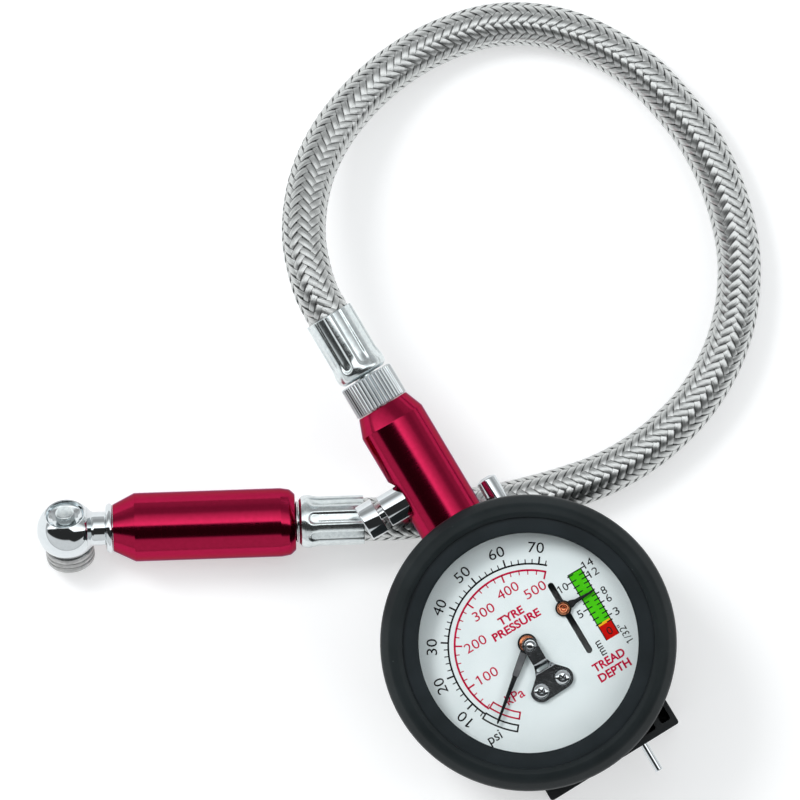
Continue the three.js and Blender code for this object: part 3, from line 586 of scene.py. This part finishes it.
def rubber_boot():
    profile = [
        (30, 18, 0.3), (BOOT_R - 0.3, 18, 1.0), (BOOT_R, 30), (BOOT_R, 37.2, 3.2), (34.6, 40.6, 3.0),
        (32.6, BOOT_TOP - 0.05, 1.2), (LIP_R, BOOT_TOP - 0.5, 0.35), (LIP_R, 39.8), (33.9, 39.8),
        (33.9, 19.5), (30, 19.5),
    ]
    boot = lathe("boot_skin", profile, upright(), 160, steps=6)
    x, _, z = ROD_AT
    outline = [(x + HOOD_R, 20), *arc(x, z, HOOD_R, 0, -60, 4), *arc(x, z, HOOD_R, -120, -180, 4),
               (x - HOOD_R, 20)]
    hood = prism("tool", outline, -37.3, -32.5, rotated(90, "X"))
    combine(hood, [tool_rod(BOOT_R - 0.1, 0, 45, upright(), 160)], "INTERSECT")
    combine(boot, [hood], "UNION")
    combine(boot, [tool_rod(8.9, 25, 45, ON_STEM, 72), tool_rod(HOOD_NOTCH, 30, 45, ON_ROD),
                   tool_box((x - HOOD_NOTCH, 30, 9), (x + HOOD_NOTCH, 45, z))], sharp=40)
    finish_piece(boot, RUBBER, "rubber_boot")


rubber_boot()
lathe("bezel_face", [
    (27.4, 38.8, 0.1), (27.4, 39.35, 0.25), (27.9, 39.6, 0.1), (33.6, 39.6, 0.1), (33.6, 38.7),
], upright(), 192, BEZEL_BLACK, "bezel_ring")
lathe("window_disc", [(0, 37.2), (32.1, 37.2, 0.2), (32.1, 38.4, 0.2), (0, 38.4)], upright(), 128,
      WINDOW, "lens")

# ---- dial and its print
DIAL_TOP = 33.0
BELOW_DIAL, ABOVE_HANDS = 30, 40  # heights that a hole's tool passes through
INK = 0.03  # thickness of the print
PSI_ZERO, PSI_STEP = 218.3, -2.36  # degrees in the gauge frame, and per psi
KPA_STEP = -0.342  # degrees per kPa
PSI_MAX, KPA_MAX = 72.5, 500
PSI_R, KPA_R = 20.4, 18.8
SLOT_AT, SLOT_HALF, SLOT_R = (12.1, 0), 10.1, 0.8
FONT_CAP = 0.682  # height of a capital, per unit of text size
BOLD = 0.09  # mm added all round a stroke


def dial_hole(radius, spot, segments=48):
    return tool_rod(radius, BELOW_DIAL, ABOVE_HANDS, upright(*spot), segments)


def dial_plate():
    plate = lathe("dial_face", [(0, 32.4), (32, 32.4), (32, DIAL_TOP), (0, DIAL_TOP)], upright(), 128)
    slot = prism("tool", capsule(*SLOT_AT, SLOT_HALF, SLOT_R), BELOW_DIAL, ABOVE_HANDS)
    combine(plate, [slot, dial_hole(1.2, PIVOT), *(dial_hole(1.1, spot, 24) for spot in BRIDGE_SCREWS)])
    finish_piece(plate, DIAL_WHITE, "dial_plate")


dial_plate()


class Print:
    """Flat shapes of one ink, joined into one thin mesh on the dial."""

    def __init__(self, name, material, level=0.0):
        self.name, self.material = name, material
        self.base = DIAL_TOP + 0.01 + level * INK
        self.verts, self.faces = [], []

    def shape(self, outline):
        """A closed outline of (x, y) points, counter-clockwise."""
        self.faces += closed_tube(len(self.verts), 1, len(outline))
        self.verts += [(x, y, self.base + z) for z in (0, INK) for x, y in outline]

    def bar(self, start, end, width):
        (x0, y0), (x1, y1) = start, end
        length = math.hypot(x1 - x0, y1 - y0)
        nx, ny = -(y1 - y0) / length * width / 2, (x1 - x0) / length * width / 2
        self.shape([(x0 - nx, y0 - ny), (x1 - nx, y1 - ny), (x1 + nx, y1 + ny), (x0 + nx, y0 + ny)])

    def arc(self, inner, outer, start, end):
        """A strip of a ring round the pivot, from one angle down to another."""
        steps = max(2, int(abs(start - end) / 2))
        self.shape(arc(*PIVOT, inner, start, end, steps) + arc(*PIVOT, outer, end, start, steps))

    def tick(self, angle, inner, outer, width):
        self.bar(around_pivot(inner, angle), around_pivot(outer, angle), width)

    def text(self, words, x, y, cap, width, turn=0.0, weight=0.0):
        """Words centred on a point, with capitals `cap` mm high; turn is in degrees, weight fattens them."""
        curve = bpy.data.curves.new("words", "FONT")
        curve.body, curve.size, curve.resolution_u = words, cap / FONT_CAP, 3
        curve.offset, curve.extrude = weight, INK / 2
        obj = add_object("words", curve)
        mesh = evaluated_mesh(obj)
        left, right = (pick(v.co.x for v in mesh.vertices) for pick in (min, max))
        low, high = (pick(v.co.y for v in mesh.vertices) for pick in (min, max))
        squeeze = width / (right - left)
        cos, sin = math.cos(math.radians(turn)), math.sin(math.radians(turn))

        def put(u, w):
            u, w = (u - (left + right) / 2) * squeeze, w - (low + high) / 2
            return x + u * cos - w * sin, y + u * sin + w * cos

        first = len(self.verts)
        self.verts += [(*put(v.co.x, v.co.y), self.base + INK / 2 + v.co.z) for v in mesh.vertices]
        self.faces += [tuple(first + i for i in p.vertices) for p in mesh.polygons]
        if words[0] == "1":  # the figure one gets its flag
            flag = ((0.02, 0), (-0.2, -0.17), (-0.2, -0.28), (0.02, -0.17))
            self.shape([put(left + u * cap, high + w * cap) for u, w in flag])
        bpy.data.objects.remove(obj)
        bpy.data.meshes.remove(mesh)

    def done(self):
        make_mesh(self.name, self.verts, self.faces, self.material, sharp=20)


def around_pivot(radius, angle):
    return arc(*PIVOT, radius, angle, angle, 1)[0]


def psi(value):
    return PSI_ZERO + PSI_STEP * value


def kpa(value):
    return PSI_ZERO + KPA_STEP * value


def pressure_scales(black, crimson):
    box_start, box_end = PSI_ZERO + 12.6, PSI_ZERO - 12  # the zero boxes span these angles
    long_tick, short_tick = 0.42, 0.26  # widths
    black.arc(PSI_R - 0.22, PSI_R + 0.22, box_end, psi(PSI_MAX))
    for value in range(6, 73, 2):
        reach, width = (1.9, long_tick) if value % 10 == 0 else (1.15, short_tick)
        black.tick(psi(value), PSI_R, PSI_R + reach, width)
    for value in range(10, 71, 10):
        angle = psi(value) + 2.6
        black.text(str(value), *around_pivot(24.5, angle), 2.6, 3.4 if value == 10 else 4.0, angle - 90)
    for ink_used, low, high in ((black, PSI_R - 0.3, PSI_R + 1.3), (crimson, KPA_R - 1.95, KPA_R - 0.3)):
        ink_used.arc(high - 0.2, high + 0.2, box_start, box_end)
        ink_used.arc(low - 0.2, low + 0.2, box_start, box_end)
        for angle in (box_start, box_end):
            ink_used.tick(angle, low - 0.2, high + 0.2, 0.4)
    crimson.arc(KPA_R - 0.25, KPA_R + 0.25, box_end, kpa(KPA_MAX) - 0.6)
    for value in range(40, KPA_MAX + 1, 20):
        reach, width = (1.9, long_tick) if value % 100 == 0 else (1.1, short_tick)
        crimson.tick(kpa(value), KPA_R - reach, KPA_R, width)
    numbers = ((100, -12.8, -1.8), (200, -11.5, 6.5), (300, -5.7, 12.3), (400, 2.2, 13.8), (500, 8.2, 10.5))
    for value, x, y in numbers:
        crimson.text(str(value), x, y, 2.4, 5.2 if value == 100 else 5.8)
    crimson.text("TYRE", -0.3, 8.05, 1.9, 6.9, 0, BOLD)
    crimson.text("PRESSURE", -0.3, 5.4, 1.9, 13.4, 0, BOLD)
    crimson.text("kPa", -9.75, -9.7, 2.5, 4.9, 0, 0.03)
    black.text("psi", -19.3, -16.3, 2.5, 3.6, 0, 0.02)


def tread_scale(black, crimson):
    left, right = 17.05, 20.68  # the coloured bar
    bottom, zero, safe, top = -9.55, -5.65, -5.03, 9.3
    border, tick = 0.27, 0.3
    zones = ((ZONE_RED, "print_zone_red", bottom, zero), (ZONE_YELLOW, "print_zone_yellow", zero, safe),
             (ZONE_GREEN, "print_zone_green", safe, top))
    for material, name, low, high in zones:
        zone = Print(name, material, -0.5)
        zone.shape([(left, low), (right, low), (right, high), (left, high)])
        zone.done()
    for x in (left, right):
        black.bar((x, bottom), (x, top + border / 2), border)
    black.bar((left, top), (right, top), border)
    depth_zero, per_mm = -8.15, 1.552
    for depth in range(2, 12):
        y = depth_zero + depth * per_mm
        black.bar((left - (0.4 if depth % 5 else 1.3), y), (left + 1.3, y), tick)
    third, per_32nd = -4.36, 1.24  # where 3/32 inch is, and the step for one more
    for depth in range(2, 15):
        y = third + (depth - 3) * per_32nd
        black.bar((right - 1.2, y), (right + (1.0 if depth in (3, 6, 8, 12, 14) else 0.4), y), tick)
    numbers = (("14", 22.95, 9.5, 2.5), ("12", 22.95, 6.85, 2.5), ("8", 22.85, 1.65, 1.3),
               ("6", 22.9, -0.6, 1.3), ("3", 22.9, -4.4, 1.3), ("10", 14.6, 7.3, 2.3),
               ("5", 14.75, -0.5, 1.3), ("0", 18.95, -7.75, 1.4))
    for words, x, y, width in numbers:
        black.text(words, x, y, 1.95, width)
    black.text("mm", 14.9, -10.4, 2.0, 3.9, 90, 0.02)
    black.text('1/32"', 22.0, -10.1, 1.8, 4.9, 90)
    crimson.text("TREAD", 15.0, -13.95, 2.0, 8.9, 0, BOLD)
    crimson.text("DEPTH", 15.0, -16.85, 2.0, 8.9, 0, BOLD)


black_print, crimson_print = Print("print_black", INK_BLACK), Print("print_crimson", INK_RED)
pressure_scales(black_print, crimson_print)
tread_scale(black_print, crimson_print)
black_print.done()
crimson_print.done()

# ---- dial furniture
RECESS_TURN = 20  # degrees, of the crosses in the screw heads
HUB_AT = (-0.3, 0.0)  # the bush sits beside the pivot
POINTER_TIP = (-17.0, -13.4)
SHEEN_LENGTH = 8.8  # mm of the hand next to the hub that gets a painted sheen
TREAD_TIP = 20.5


def cross_recess(place, reach, width, top, depth):
    """Two tapered bars that cut a cross recess into a screw head."""
    levels = ((reach * 0.45, width * 0.35, top - depth), (reach, width * 0.5, top + 0.3))
    corners = ((-1, -1), (1, -1), (1, 1), (-1, 1))
    tools = []
    for turn in (0, 90):
        spin = place @ rotated(turn + RECESS_TURN, "Z")
        verts = [spin @ Vector((sx * r, sy * w, z)) for r, w, z in levels for sx, sy in corners]
        tools.append(make_mesh("tool", verts, closed_tube(0, 1, 4)))
    return tools


def screws(kind, spots, head, shank, material, way=Matrix.Identity(4)):
    """Pan-head screws: head is (radius, underside, top), shank is (radius, end)."""
    (radius, under, top), (thick, end) = head, shank
    profile = [(0, end), (thick, end), (thick, under), (radius, under, 0.08),
               (radius, (under + top) / 2, 0.35), (radius * 0.6, top - 0.06, 0.8), (0, top)]
    for number, spot in enumerate(spots, 1):
        place = upright(*spot) @ way
        piece = lathe(f"{kind}_head_{number}", profile, place, 64)
        combine(piece, cross_recess(place, radius * 0.66, radius * 0.3, top, (top - under) * 0.8), sharp=35)
        finish_piece(piece, material, f"{kind}_{number}")


def pointer_bridge():
    x, y = PIVOT
    side = rounded([(y + 4, 35.6), (y + 4, 36.2), (-5.4, 36.2, 0.9), (-8.1, 33.9, 0.9), (-16.5, 33.9),
                    (-16.5, 33.3), (-8.3, 33.3, 0.5), (-5.7, 35.6, 0.5)], closed=True, steps=5)
    strip = prism("bridge", side, -8, 8, AXES["X"])
    (ax, ay), (bx, by) = BRIDGE_SCREWS
    outline = [
        *arc(ax, ay, 2.75, 162, 262, 10), *arc(bx, by, 2.75, -88, 40, 12),
        (x + 3.1, -8.0), (x + 2.2, -6.6), (x + 1.85, -5.6),
        *arc(x, y, 2.0, -22, 202, 18), (x - 1.85, -5.6), (x - 2.15, -6.8), (x - 2.9, -8.4),
    ]
    combine(strip, [prism("tool", outline, BELOW_DIAL, ABOVE_HANDS)], "INTERSECT")
    oval = capsule(x - 0.1, -7.2, 1.75, 0.42, along_y=False)
    combine(strip, [dial_hole(0.65, PIVOT, 24), prism("tool", oval, BELOW_DIAL, ABOVE_HANDS),
                    *(dial_hole(1.1, spot, 24) for spot in BRIDGE_SCREWS)], bevel=0.1, sharp=20)
    finish_piece(strip, BRIDGE_CHROME, "pointer_bridge")


def pointed(half, y=0.0):
    """An outline from (x, half width) points, with both its sides alike about the line at y."""
    return [(x, y - v) for x, v in half] + [(x, y + v) for x, v in reversed(half)]


def pressure_pointer():
    (hx, hy), (tx, ty) = HUB_AT, POINTER_TIP
    tip, turn = math.hypot(tx - hx, ty - hy), math.atan2(ty - hy, tx - hx)
    place = Matrix.Translation((hx, hy, 0)) @ Matrix.Rotation(turn, 4, "Z")
    half = [(1.0, 0.98), (4, 0.92), (SHEEN_LENGTH - 0.2, 0.8), (SHEEN_LENGTH + 0.2, 0.62),
            (tip - 0.5, 0.27), (tip, 0.12)]
    hand = prism("pressure_hand_blade", pointed(half), 34.1, 34.5, place)
    hub = lathe("tool", [(0, 33.7), (2.45, 33.7, 0.1), (2.45, 34.6, 0.12), (0, 34.6)], upright(hx, hy), 64)
    combine(hand, [hub], "UNION")
    combine(hand, [dial_hole(1.0, PIVOT, 32)], bevel=0.06, sharp=35)
    finish_piece(hand, BLACK_PAINT, "pressure_pointer", "pressure_hand")
    # Painted sheen: a thin grey plate on the hand next to the hub stands in for the light that this part
    # reflects.
    half = [(2.6, 0.86), (4, 0.82), (SHEEN_LENGTH - 0.1, 0.7)]
    prism("pressure_hand_painted_sheen", pointed(half), 34.5, 34.53, place, material=PAINTED_SHEEN_GREY, body="pressure_hand")


def tread_pointer():
    x, y = RIVET
    half = [(x, 1.0), (x + 2.4, 0.95), (15.4, 0.55), (TREAD_TIP - 0.25, 0.2), (TREAD_TIP, 0.08)]
    arm = prism("tread_hand_blade", pointed(half, y), 33.4, 33.8)
    hub = lathe("tool", [(0, 33.35), (2.03, 33.35, 0.08), (2.03, 33.95, 0.12), (0, 33.95)], upright(x, y), 48)
    combine(arm, [hub], "UNION", bevel=0.05, sharp=35)
    finish_piece(arm, BLACK_PAINT, "tread_pointer", "depth_slider")


pointer_bridge()
screws("bridge_screw", BRIDGE_SCREWS, (1.9, 34.2, 35.4), (0.8, 28.5), CHROME)
lathe("pivot_cap", [
    (0, 35.65), (0.35, 35.65), (0.35, 36.35), (1.5, 36.35, 0.1), (1.5, 36.6, 0.1), (1.2, 36.6),
    (1.15, 36.75, 0.3), (0.8, 37.1, 0.5), (0, 37.2),
], upright(*PIVOT), 64, CHROME, "pivot_bearing")
pressure_pointer()
tread_pointer()
lathe("hand_bush_cap", [
    (0, 33.5), (0.7, 33.5), (0.7, 34.65), (2.0, 34.65, 0.1), (2.0, 35.05, 0.15), (1.5, 35.25, 0.1),
    (0, 35.25),
], upright(*HUB_AT), 64, COPPER, "pointer_bush", body="pressure_hand")
lathe("rivet_head", [
    (0, 33.4), (0.6, 33.4), (0.6, 34.0), (1.65, 34.0, 0.1), (1.62, 34.35, 0.3), (1.15, 34.85, 0.4),
    (0.75, 34.75, 0.2), (0.5, 34.45, 0.1), (0, 34.4),
], upright(*RIVET), 64, COPPER, "slider_rivet", body="depth_slider")


# ---- tread housing
def round_corners(corners, steps):
    """An outline with an arc at each (x, y, radius) centre, counter-clockwise from the bottom right."""
    return [p for i, (x, y, r) in enumerate(corners) for p in arc(x, y, r, 90 * i - 90, 90 * i, steps)]


def tread_housing():
    left, right, bottom, top, height, floor_top = -14.8, 21.8, -36.7, 18, 17.7, 1.6
    foot_right, foot_left, foot_drop = 22.2, -15.3, 0.55  # the foot's edge isn't quite square to the sides
    low, high = -34.75, top - 2.1
    corner, foot_corner = 1.2, 0.7
    seat = floor_top / 2  # where whatever stands on the floor begins, inside it

    def pocket(x0, x1, y0, y1):
        r = 0.6
        centres = [(x1 - r, y0 + r, r), (x1 - r, y1 - r, r), (x0 + r, y1 - r, r), (x0 + r, y0 + r, r)]
        return prism("tool", round_corners(centres, 5), floor_top, height + 1)

    outline = round_corners([
        (foot_right - foot_corner, bottom + foot_corner, foot_corner),
        (right - corner, top - corner, corner),
        (left + corner, top - corner, corner),
        (foot_left + foot_corner, bottom - foot_drop + foot_corner, foot_corner),
    ], 6)
    tray = prism("tread_housing_shell", outline, 0, height)
    combine(tray, [pocket(left + 2.4, 5.0, -32, high), pocket(6.1, 16.5, low - 0.3, high),
                   pocket(18.2, right - 0.9, low, high)])
    posts = [tool_rod(3, seat, 19.5, upright(*spot), 40) for spot in CASE_SCREWS]
    combine(tray, [*posts, tool_box((13.8, low - 0.8, seat), (17, low + 3, 9)),
                   tool_box((13.8, -13.7, seat), (15, -10.3, 11.4)),
                   tool_box((10.6, -33, seat), (11.4, 9.5, 4.2))], "UNION")
    holes = [tool_rod(1.55, -1, 21, upright(*spot), 32) for spot in CASE_SCREWS]
    holes += [tool_rod(2.9, -1, 3, upright(*spot), 40) for spot in CASE_SCREWS]
    combine(tray, [*holes, tool_rod(1.1, 4.7, 16.5, along("X", (0, -12, 9.6)), 24),
                   tool_rod(1.2, -40, -32, ON_ROD, 32),
                   tool_box((10, 14.9, 13.1), (13.6, 19, 15.7))], bevel=0.2, sharp=20)
    finish_piece(tray, BLACK_PLASTIC, "tread_housing")


tread_housing()
# The case screws go in from below, so their heights are measured downwards.
screws("case_screw", CASE_SCREWS, (2.6, -2.7, -0.6), (1.25, -22.2), ZINC, Matrix.Diagonal((1, -1, -1, 1)))
lathe("probe", [(0, -44.5), (0.98, -44.5, 0.3), (0.98, -23.1), (0, -23.1)], ON_ROD, 48,
      CHROME, "probe_pin", body="tread_rod")
lathe("thumb_plunger", [
    (0, 26), (1.9, 26), (2.6, 26.7, 0.1), (2.6, 40.3, 0.45), (1.2, 40.9, 1.2), (0, 40.95),
], ON_ROD, 72, CHROME, "thumb_button", body="tread_rod")


# ---- handle and bleed valve
def handle():
    profile = [(4.8, 34.2), (8.3, 34.2), (8.6, 34.5), (8.6, 64.7, 0.5), (6.8, 69.4, 0.25), (4.8, 69.4, 0.2),
               (4.8, 60), (2, 60), (2, 41.5), (4.8, 41.5)]
    shell = lathe("handle_shell", profile, ON_STEM, 160)
    bores = [tool_rod(4.45, -12, -2.4, ON_VALVE, 72), tool_rod(5.9, -12, -7.9, ON_VALVE, 96)]
    combine(shell, bores, sharp=38)
    finish_piece(shell, RED_ANODISED, "handle_body")


handle()
lathe("bleed_valve_shell", [
    (1.5, -2.7), (4.15, -2.7), (4.15, -14.2, 0.3), (2.7, -14.2, 0.2), (2.7, -4), (1.5, -4),
], ON_VALVE, 96, CHROME, "bleed_valve_body")
lathe("bleed_cap", [
    (0, -20.1), (4.65, -20.1, 0.4), (4.65, -15.6, 0.15), (1.3, -15.6), (1.3, -9), (2.3, -9), (2.3, -8.4),
    (0, -8.4),
], ON_VALVE, 96, CHROME, "bleed_button", body="bleed_plunger")


def coil_spring():
    """The bleed spring, inside the valve. It is made at one length; the real spring shortens as the button is
    pressed.
    """
    low, high, coil, wire, turns, sides, steps = -8.0, -4.05, 1.9, 0.25, 3.5, 10, 120
    line = []
    for k in range(steps + 1):
        angle = 2 * math.pi * turns * k / steps
        line.append((low + wire + (high - low - 2 * wire) * k / steps, VALVE_AT[1] + coil * math.cos(angle),
                     VALVE_AT[2] + coil * math.sin(angle)))
    across, up, _ = carried_frames(np.array(line))
    spots = [2 * math.pi * k / sides for k in range(sides)]
    verts = [line[i] + wire * (math.cos(s) * across[i] + math.sin(s) * up[i])
             for i in range(steps + 1) for s in spots]
    spring = make_mesh("spring_coil", verts, closed_tube(0, steps, sides), STEEL, "bleed_spring")
    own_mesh(spring)


coil_spring()

# ---- nut, stems and ferrules
NUT_FLUTES = 40
FLUTE_DEPTH, FLUTES_FROM = 0.5, 6.6  # flutes fade out where the nut gets thinner than FLUTES_FROM
CRIMPS = 8
CRIMP_DEPTH = 0.36
CRIMP_START = 3.9  # from the ferrule's closed end to the centre of a channel's round end
CRIMP_HALF = 1.75  # half a channel's width
CRIMP_WALL = 0.8
FERRULE_R = 6.25


def knurl(angle, radius, height):
    """Rounded flutes on the nut's outside, fading into its chamfers."""
    if radius < FLUTES_FROM:
        return radius
    wave = abs(math.sin(NUT_FLUTES / 2 * angle))
    return radius - FLUTE_DEPTH * (1 - wave ** 0.8) * min(1.0, (radius - FLUTES_FROM) / 0.3)


lathe("nut_knurled", [
    (3.8, 69.5), (6.6, 69.5), (7.0, 69.75, 0.1), (7.0, 77.5, 0.1), (6.6, 77.8), (3.8, 77.8),
], ON_STEM, 480, CHROME, "knurled_nut", ripple=knurl, body="hose_nut", slot="zinc", sharp=50)
lathe("handle_stem", [
    (1.2, 60.4), (4.5, 60.4), (4.5, 69), (3.4, 69.3), (3.4, 77.9), (2.8, 77.9), (2.8, 95.2), (1.2, 95.2),
], ON_STEM, 72, ZINC, "hose_stem")
lathe("chuck_stem", [
    (1.2, -16.9), (2.8, -16.9), (2.8, -0.7), (5.2, -0.7, 0.2), (5.2, -0.25, 0.2), (4.5, 0), (4.5, 12.4),
    (1.2, 12.4),
], ON_CHUCK, 72, ZINC, "chuck_hose_stem")


def smooth_step(value):
    value = min(1.0, max(0.0, value))
    return value * value * (3 - 2 * value)


def ferrule(name, node, place, start, length, way, turn):
    """A crimped ferrule: a plain domed end, then eight pressed channels that run out at its mouth."""

    def crimp(angle, radius, height):
        if radius < 5.8:
            return radius
        pitch = 2 * math.pi / CRIMPS
        across = ((angle - turn + pitch / 2) % pitch - pitch / 2) * FERRULE_R
        short = max(0.0, CRIMP_START - (height - start) * way)
        return radius - CRIMP_DEPTH * smooth_step((CRIMP_HALF - math.hypot(across, short)) / CRIMP_WALL)

    outside = [(3.2, 0), (5.4, 0, 0.4), (6.4, 0.6, 0.7), (6.65, 1.5, 0.8), (6.65, 2.2)]
    outside += [(6.65 - 0.4 * smooth_step(step / 9), 2.2 + step * 0.35) for step in range(1, 11)]
    outside += [(FERRULE_R, length, 0.25), (5.65, length, 0.1), (5.65, 11.5), (3.2, 11.5)]
    profile = [(p[0], start + way * p[1], *p[2:]) for p in outside]
    return lathe(name, profile, place, 256, ZINC, node, ripple=crimp, sharp=45)


handle_end = ferrule("handle_crimp", "handle_ferrule", ON_STEM, 78.2, 17.5, 1, 0.32)
chuck_end = ferrule("chuck_crimp", "chuck_ferrule", ON_CHUCK, -0.9, 16.3, -1, 0.12)

# ---- chuck
lathe("chuck_grip", [
    (4.8, 0), (7.0, 0, 0.5), (8.2, 1.3, 1.4), (8.6, 3.6, 1.6), (8.6, 40.2, 0.5), (5.85, 45.7, 0.2),
    (3.75, 45.7), (3.75, 28), (2, 28), (2, 12.8), (4.8, 12.8),
], ON_CHUCK, 160, RED_ANODISED, "chuck_sleeve", sharp=38)
lathe("neck_flange", [
    (1.2, 28.8), (3.4, 28.8), (3.4, 45.8), (5.9, 45.8, 0.4), (6.4, 46.5, 0.8), (5.9, 47.4, 0.5),
    (4.25, 47.6, 0.3), (4.25, 50.9, 1.2), (5.45, 52.1), (5.4, 52.4), (1.2, 52.4),
], ON_CHUCK, 96, CHROME, "swivel_neck", body="chuck_head", sharp=40)


def chuck_ball():
    """The head's bellied part, cut flat at both ends, with a round socket for the neck."""
    radius, rim, top = 7.5, -5.55, 4.9
    low, high = math.asin(rim / radius), math.asin(top / radius)
    bulge = [(radius * math.cos(a), radius * math.sin(a)) for a in np.linspace(low, high, 32)]
    profile = [(1.9, -3.5), (3.3, -3.6, 0.5), (4.45, -4.3, 0.9), (4.8, rim + 0.05, 0.1), *bulge, (4.3, top),
               (4.3, 2.5), (1.9, 2.5)]
    ball = lathe("ball_body", profile, HEAD, 144, sharp=40)
    combine(ball, [tool_rod(5.5, BALL_AT - 9, 52.45, ON_CHUCK, 96)], sharp=40)
    finish_piece(ball, CHROME, "chuck_ball", "chuck_head")


chuck_ball()
lathe("pin_head", [
    (0, -6.35), (1.9, -6.3, 0.3), (2.35, -6.1, 0.2), (2.45, -4.4, 0.3), (2.2, -3.7), (1.2, -3.7), (1.2, 5),
    (0.9, 5.9), (0, 5.9),
], HEAD, 72, ZINC, "depressor_pin", body="chuck_head")
lathe("seal_ring", [(1.9, 2.8), (4, 2.8), (4, 4.9, 0.5), (1.9, 4.9, 0.4)], HEAD, 72,
      SEAL, "valve_seal", body="chuck_head")
lathe("collar_ringed", [
    (4.3, 5.2), (5.7, 5.2), (6.1, 5.45, 0.2), (6.1, 6.4, 0.1), (5.5, 6.7, 0.1), (6.1, 7.0, 0.1),
    (6.1, 7.7, 0.1), (5.5, 8.0, 0.1), (6.1, 8.3, 0.1), (6.1, 9.5, 0.3), (4.5, 9.5, 0.3), (4.3, 8.9),
], HEAD, 112, SATIN_STEEL, "chuck_collar", body="chuck_head", sharp=50)

# ---- carried-over CAD nodes
CAD_FINISH = {
    "case_cup tread_slider": BLACK_STEEL,
    "dial_spacer": BLACK_PLASTIC,
    "rod_rack pointer_arbor hairspring bourdon_link": STEEL,
    "rack_pinion sector_gear bourdon_socket bourdon_tube bourdon_tip": BRASS,
    "movement_base movement_top_plate movement_pillar_1 movement_pillar_2": BRASS,
}
for names, material in CAD_FINISH.items():
    for name in names.split():
        paint(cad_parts[name], material)

# ---- floor and light
FLOOR_HALF = 3.0  # metres
FLOOR_GLOW = 0.45  # keeps the shadows as light as in the picture
# Brightness of the studio by the angle from straight up, towards the top of the picture: a white tent
# with a strip light just above the zenith and a dark gap just below it.
TENT = [(-90, 0.78), (-62, 0.82), (-44, 0.8), (-39, 0.03), (2.5, 0.03), (6, 2.3), (12, 2.1), (20, 1.7),
        (36, 1.0), (46, 0.42), (62, 0.38), (75, 0.55), (90, 0.6)]
TENT_LEAN = math.radians(12)  # how far the whole pattern leans down towards the picture's right
TENT_TINT = (0.965, 0.985, 1, 1)
PLAIN = 0.6  # brightness away from the pattern


def white_floor():
    corners = [(x * FLOOR_HALF, y * FLOOR_HALF, 0) for x, y in ((-1, -1), (1, -1), (1, 1), (-1, 1))]
    mesh = bpy.data.meshes.new("floor")
    mesh.from_pydata(corners, [], [(0, 1, 2, 3)])
    finish = Finish("floor_white", Base_Color=(0.62, 0.63, 0.635, 1), Roughness=0.75, Specular_IOR_Level=0.1,
                    Emission_Color=(1, 1, 1, 1), Emission_Strength=FLOOR_GLOW)
    return paint(add_object("floor", mesh), finish.material)


def studio():
    world = bpy.data.worlds.new("studio")
    bpy.context.scene.world = world
    world.use_nodes = True
    tree = Nodes(world.node_tree)
    turn = tree.add("VectorRotate", Vector=tree.add("TexCoord").outputs["Generated"], Angle=-ROLL)
    turn.rotation_type = "Z_AXIS"
    split = tree.add("SeparateXYZ", Vector=turn.outputs["Vector"])
    x, y, z = (split.outputs[axis] for axis in "XYZ")
    lean = tree.spread(x, 0, TENT_LEAN, 0.15, 0.45)
    up_angle = tree.compute("ADD", tree.compute("ARCTAN2", y, z), lean)
    place = tree.compute("ADD", tree.compute("DIVIDE", up_angle, math.pi), 0.5)
    ramp = tree.add("ValToRGB", Fac=place)
    stops = ramp.color_ramp.elements
    stops.remove(stops[-1])
    peak = max(level for _, level in TENT)
    for i, (angle, level) in enumerate(TENT):
        stop = stops.new(angle / 180 + 0.5) if i else stops[0]
        stop.position = angle / 180 + 0.5
        stop.color = (level / peak, level / peak, level / peak, 1)
    # The pattern fades into plain white towards both sides and towards the horizon.
    sides = tree.spread(tree.compute("ABSOLUTE", x), 0, 1, 1.0, 0.97, "SMOOTHSTEP")
    horizon = tree.spread(z, 0, 1, 0.0, 0.12, "SMOOTHSTEP")
    amount = tree.compute("MULTIPLY", sides, horizon)
    pattern = tree.compute("MULTIPLY", tree.compute("MULTIPLY", ramp.outputs["Color"], peak), amount)
    plain = tree.compute("MULTIPLY", tree.compute("SUBTRACT", 1.0, amount), PLAIN)
    tree.fill(tree.nodes["Background"], Color=TENT_TINT, Strength=tree.compute("ADD", pattern, plain))


def area_light(name, azimuth, elevation, distance, size, power):
    """A soft box that looks at the gauge; azimuth is measured in the picture from its right side."""
    data = bpy.data.lights.new(name, "AREA")
    data.shape, data.size, data.energy = "DISK", size, power
    light = add_object(name, data)
    a, e = math.radians(azimuth) + ROLL, math.radians(elevation)
    way = Vector((math.cos(a) * math.cos(e), math.sin(a) * math.cos(e), math.sin(e)))
    light.location = Vector((*VIEW_CENTRE, 0)) * MM + way * distance
    light.rotation_euler = (-way).to_track_quat("-Z", "Y").to_euler()
    light.visible_camera = light.visible_glossy = False


white_floor()
studio()
area_light("key", azimuth=140, elevation=50, distance=1.4, size=0.5, power=9.0)
area_light("fill", azimuth=-35, elevation=40, distance=1.6, size=0.7, power=3.0)
bpy.context.scene.view_settings.view_transform = "Standard"

# ---- finish
bpy.context.view_layer.update()
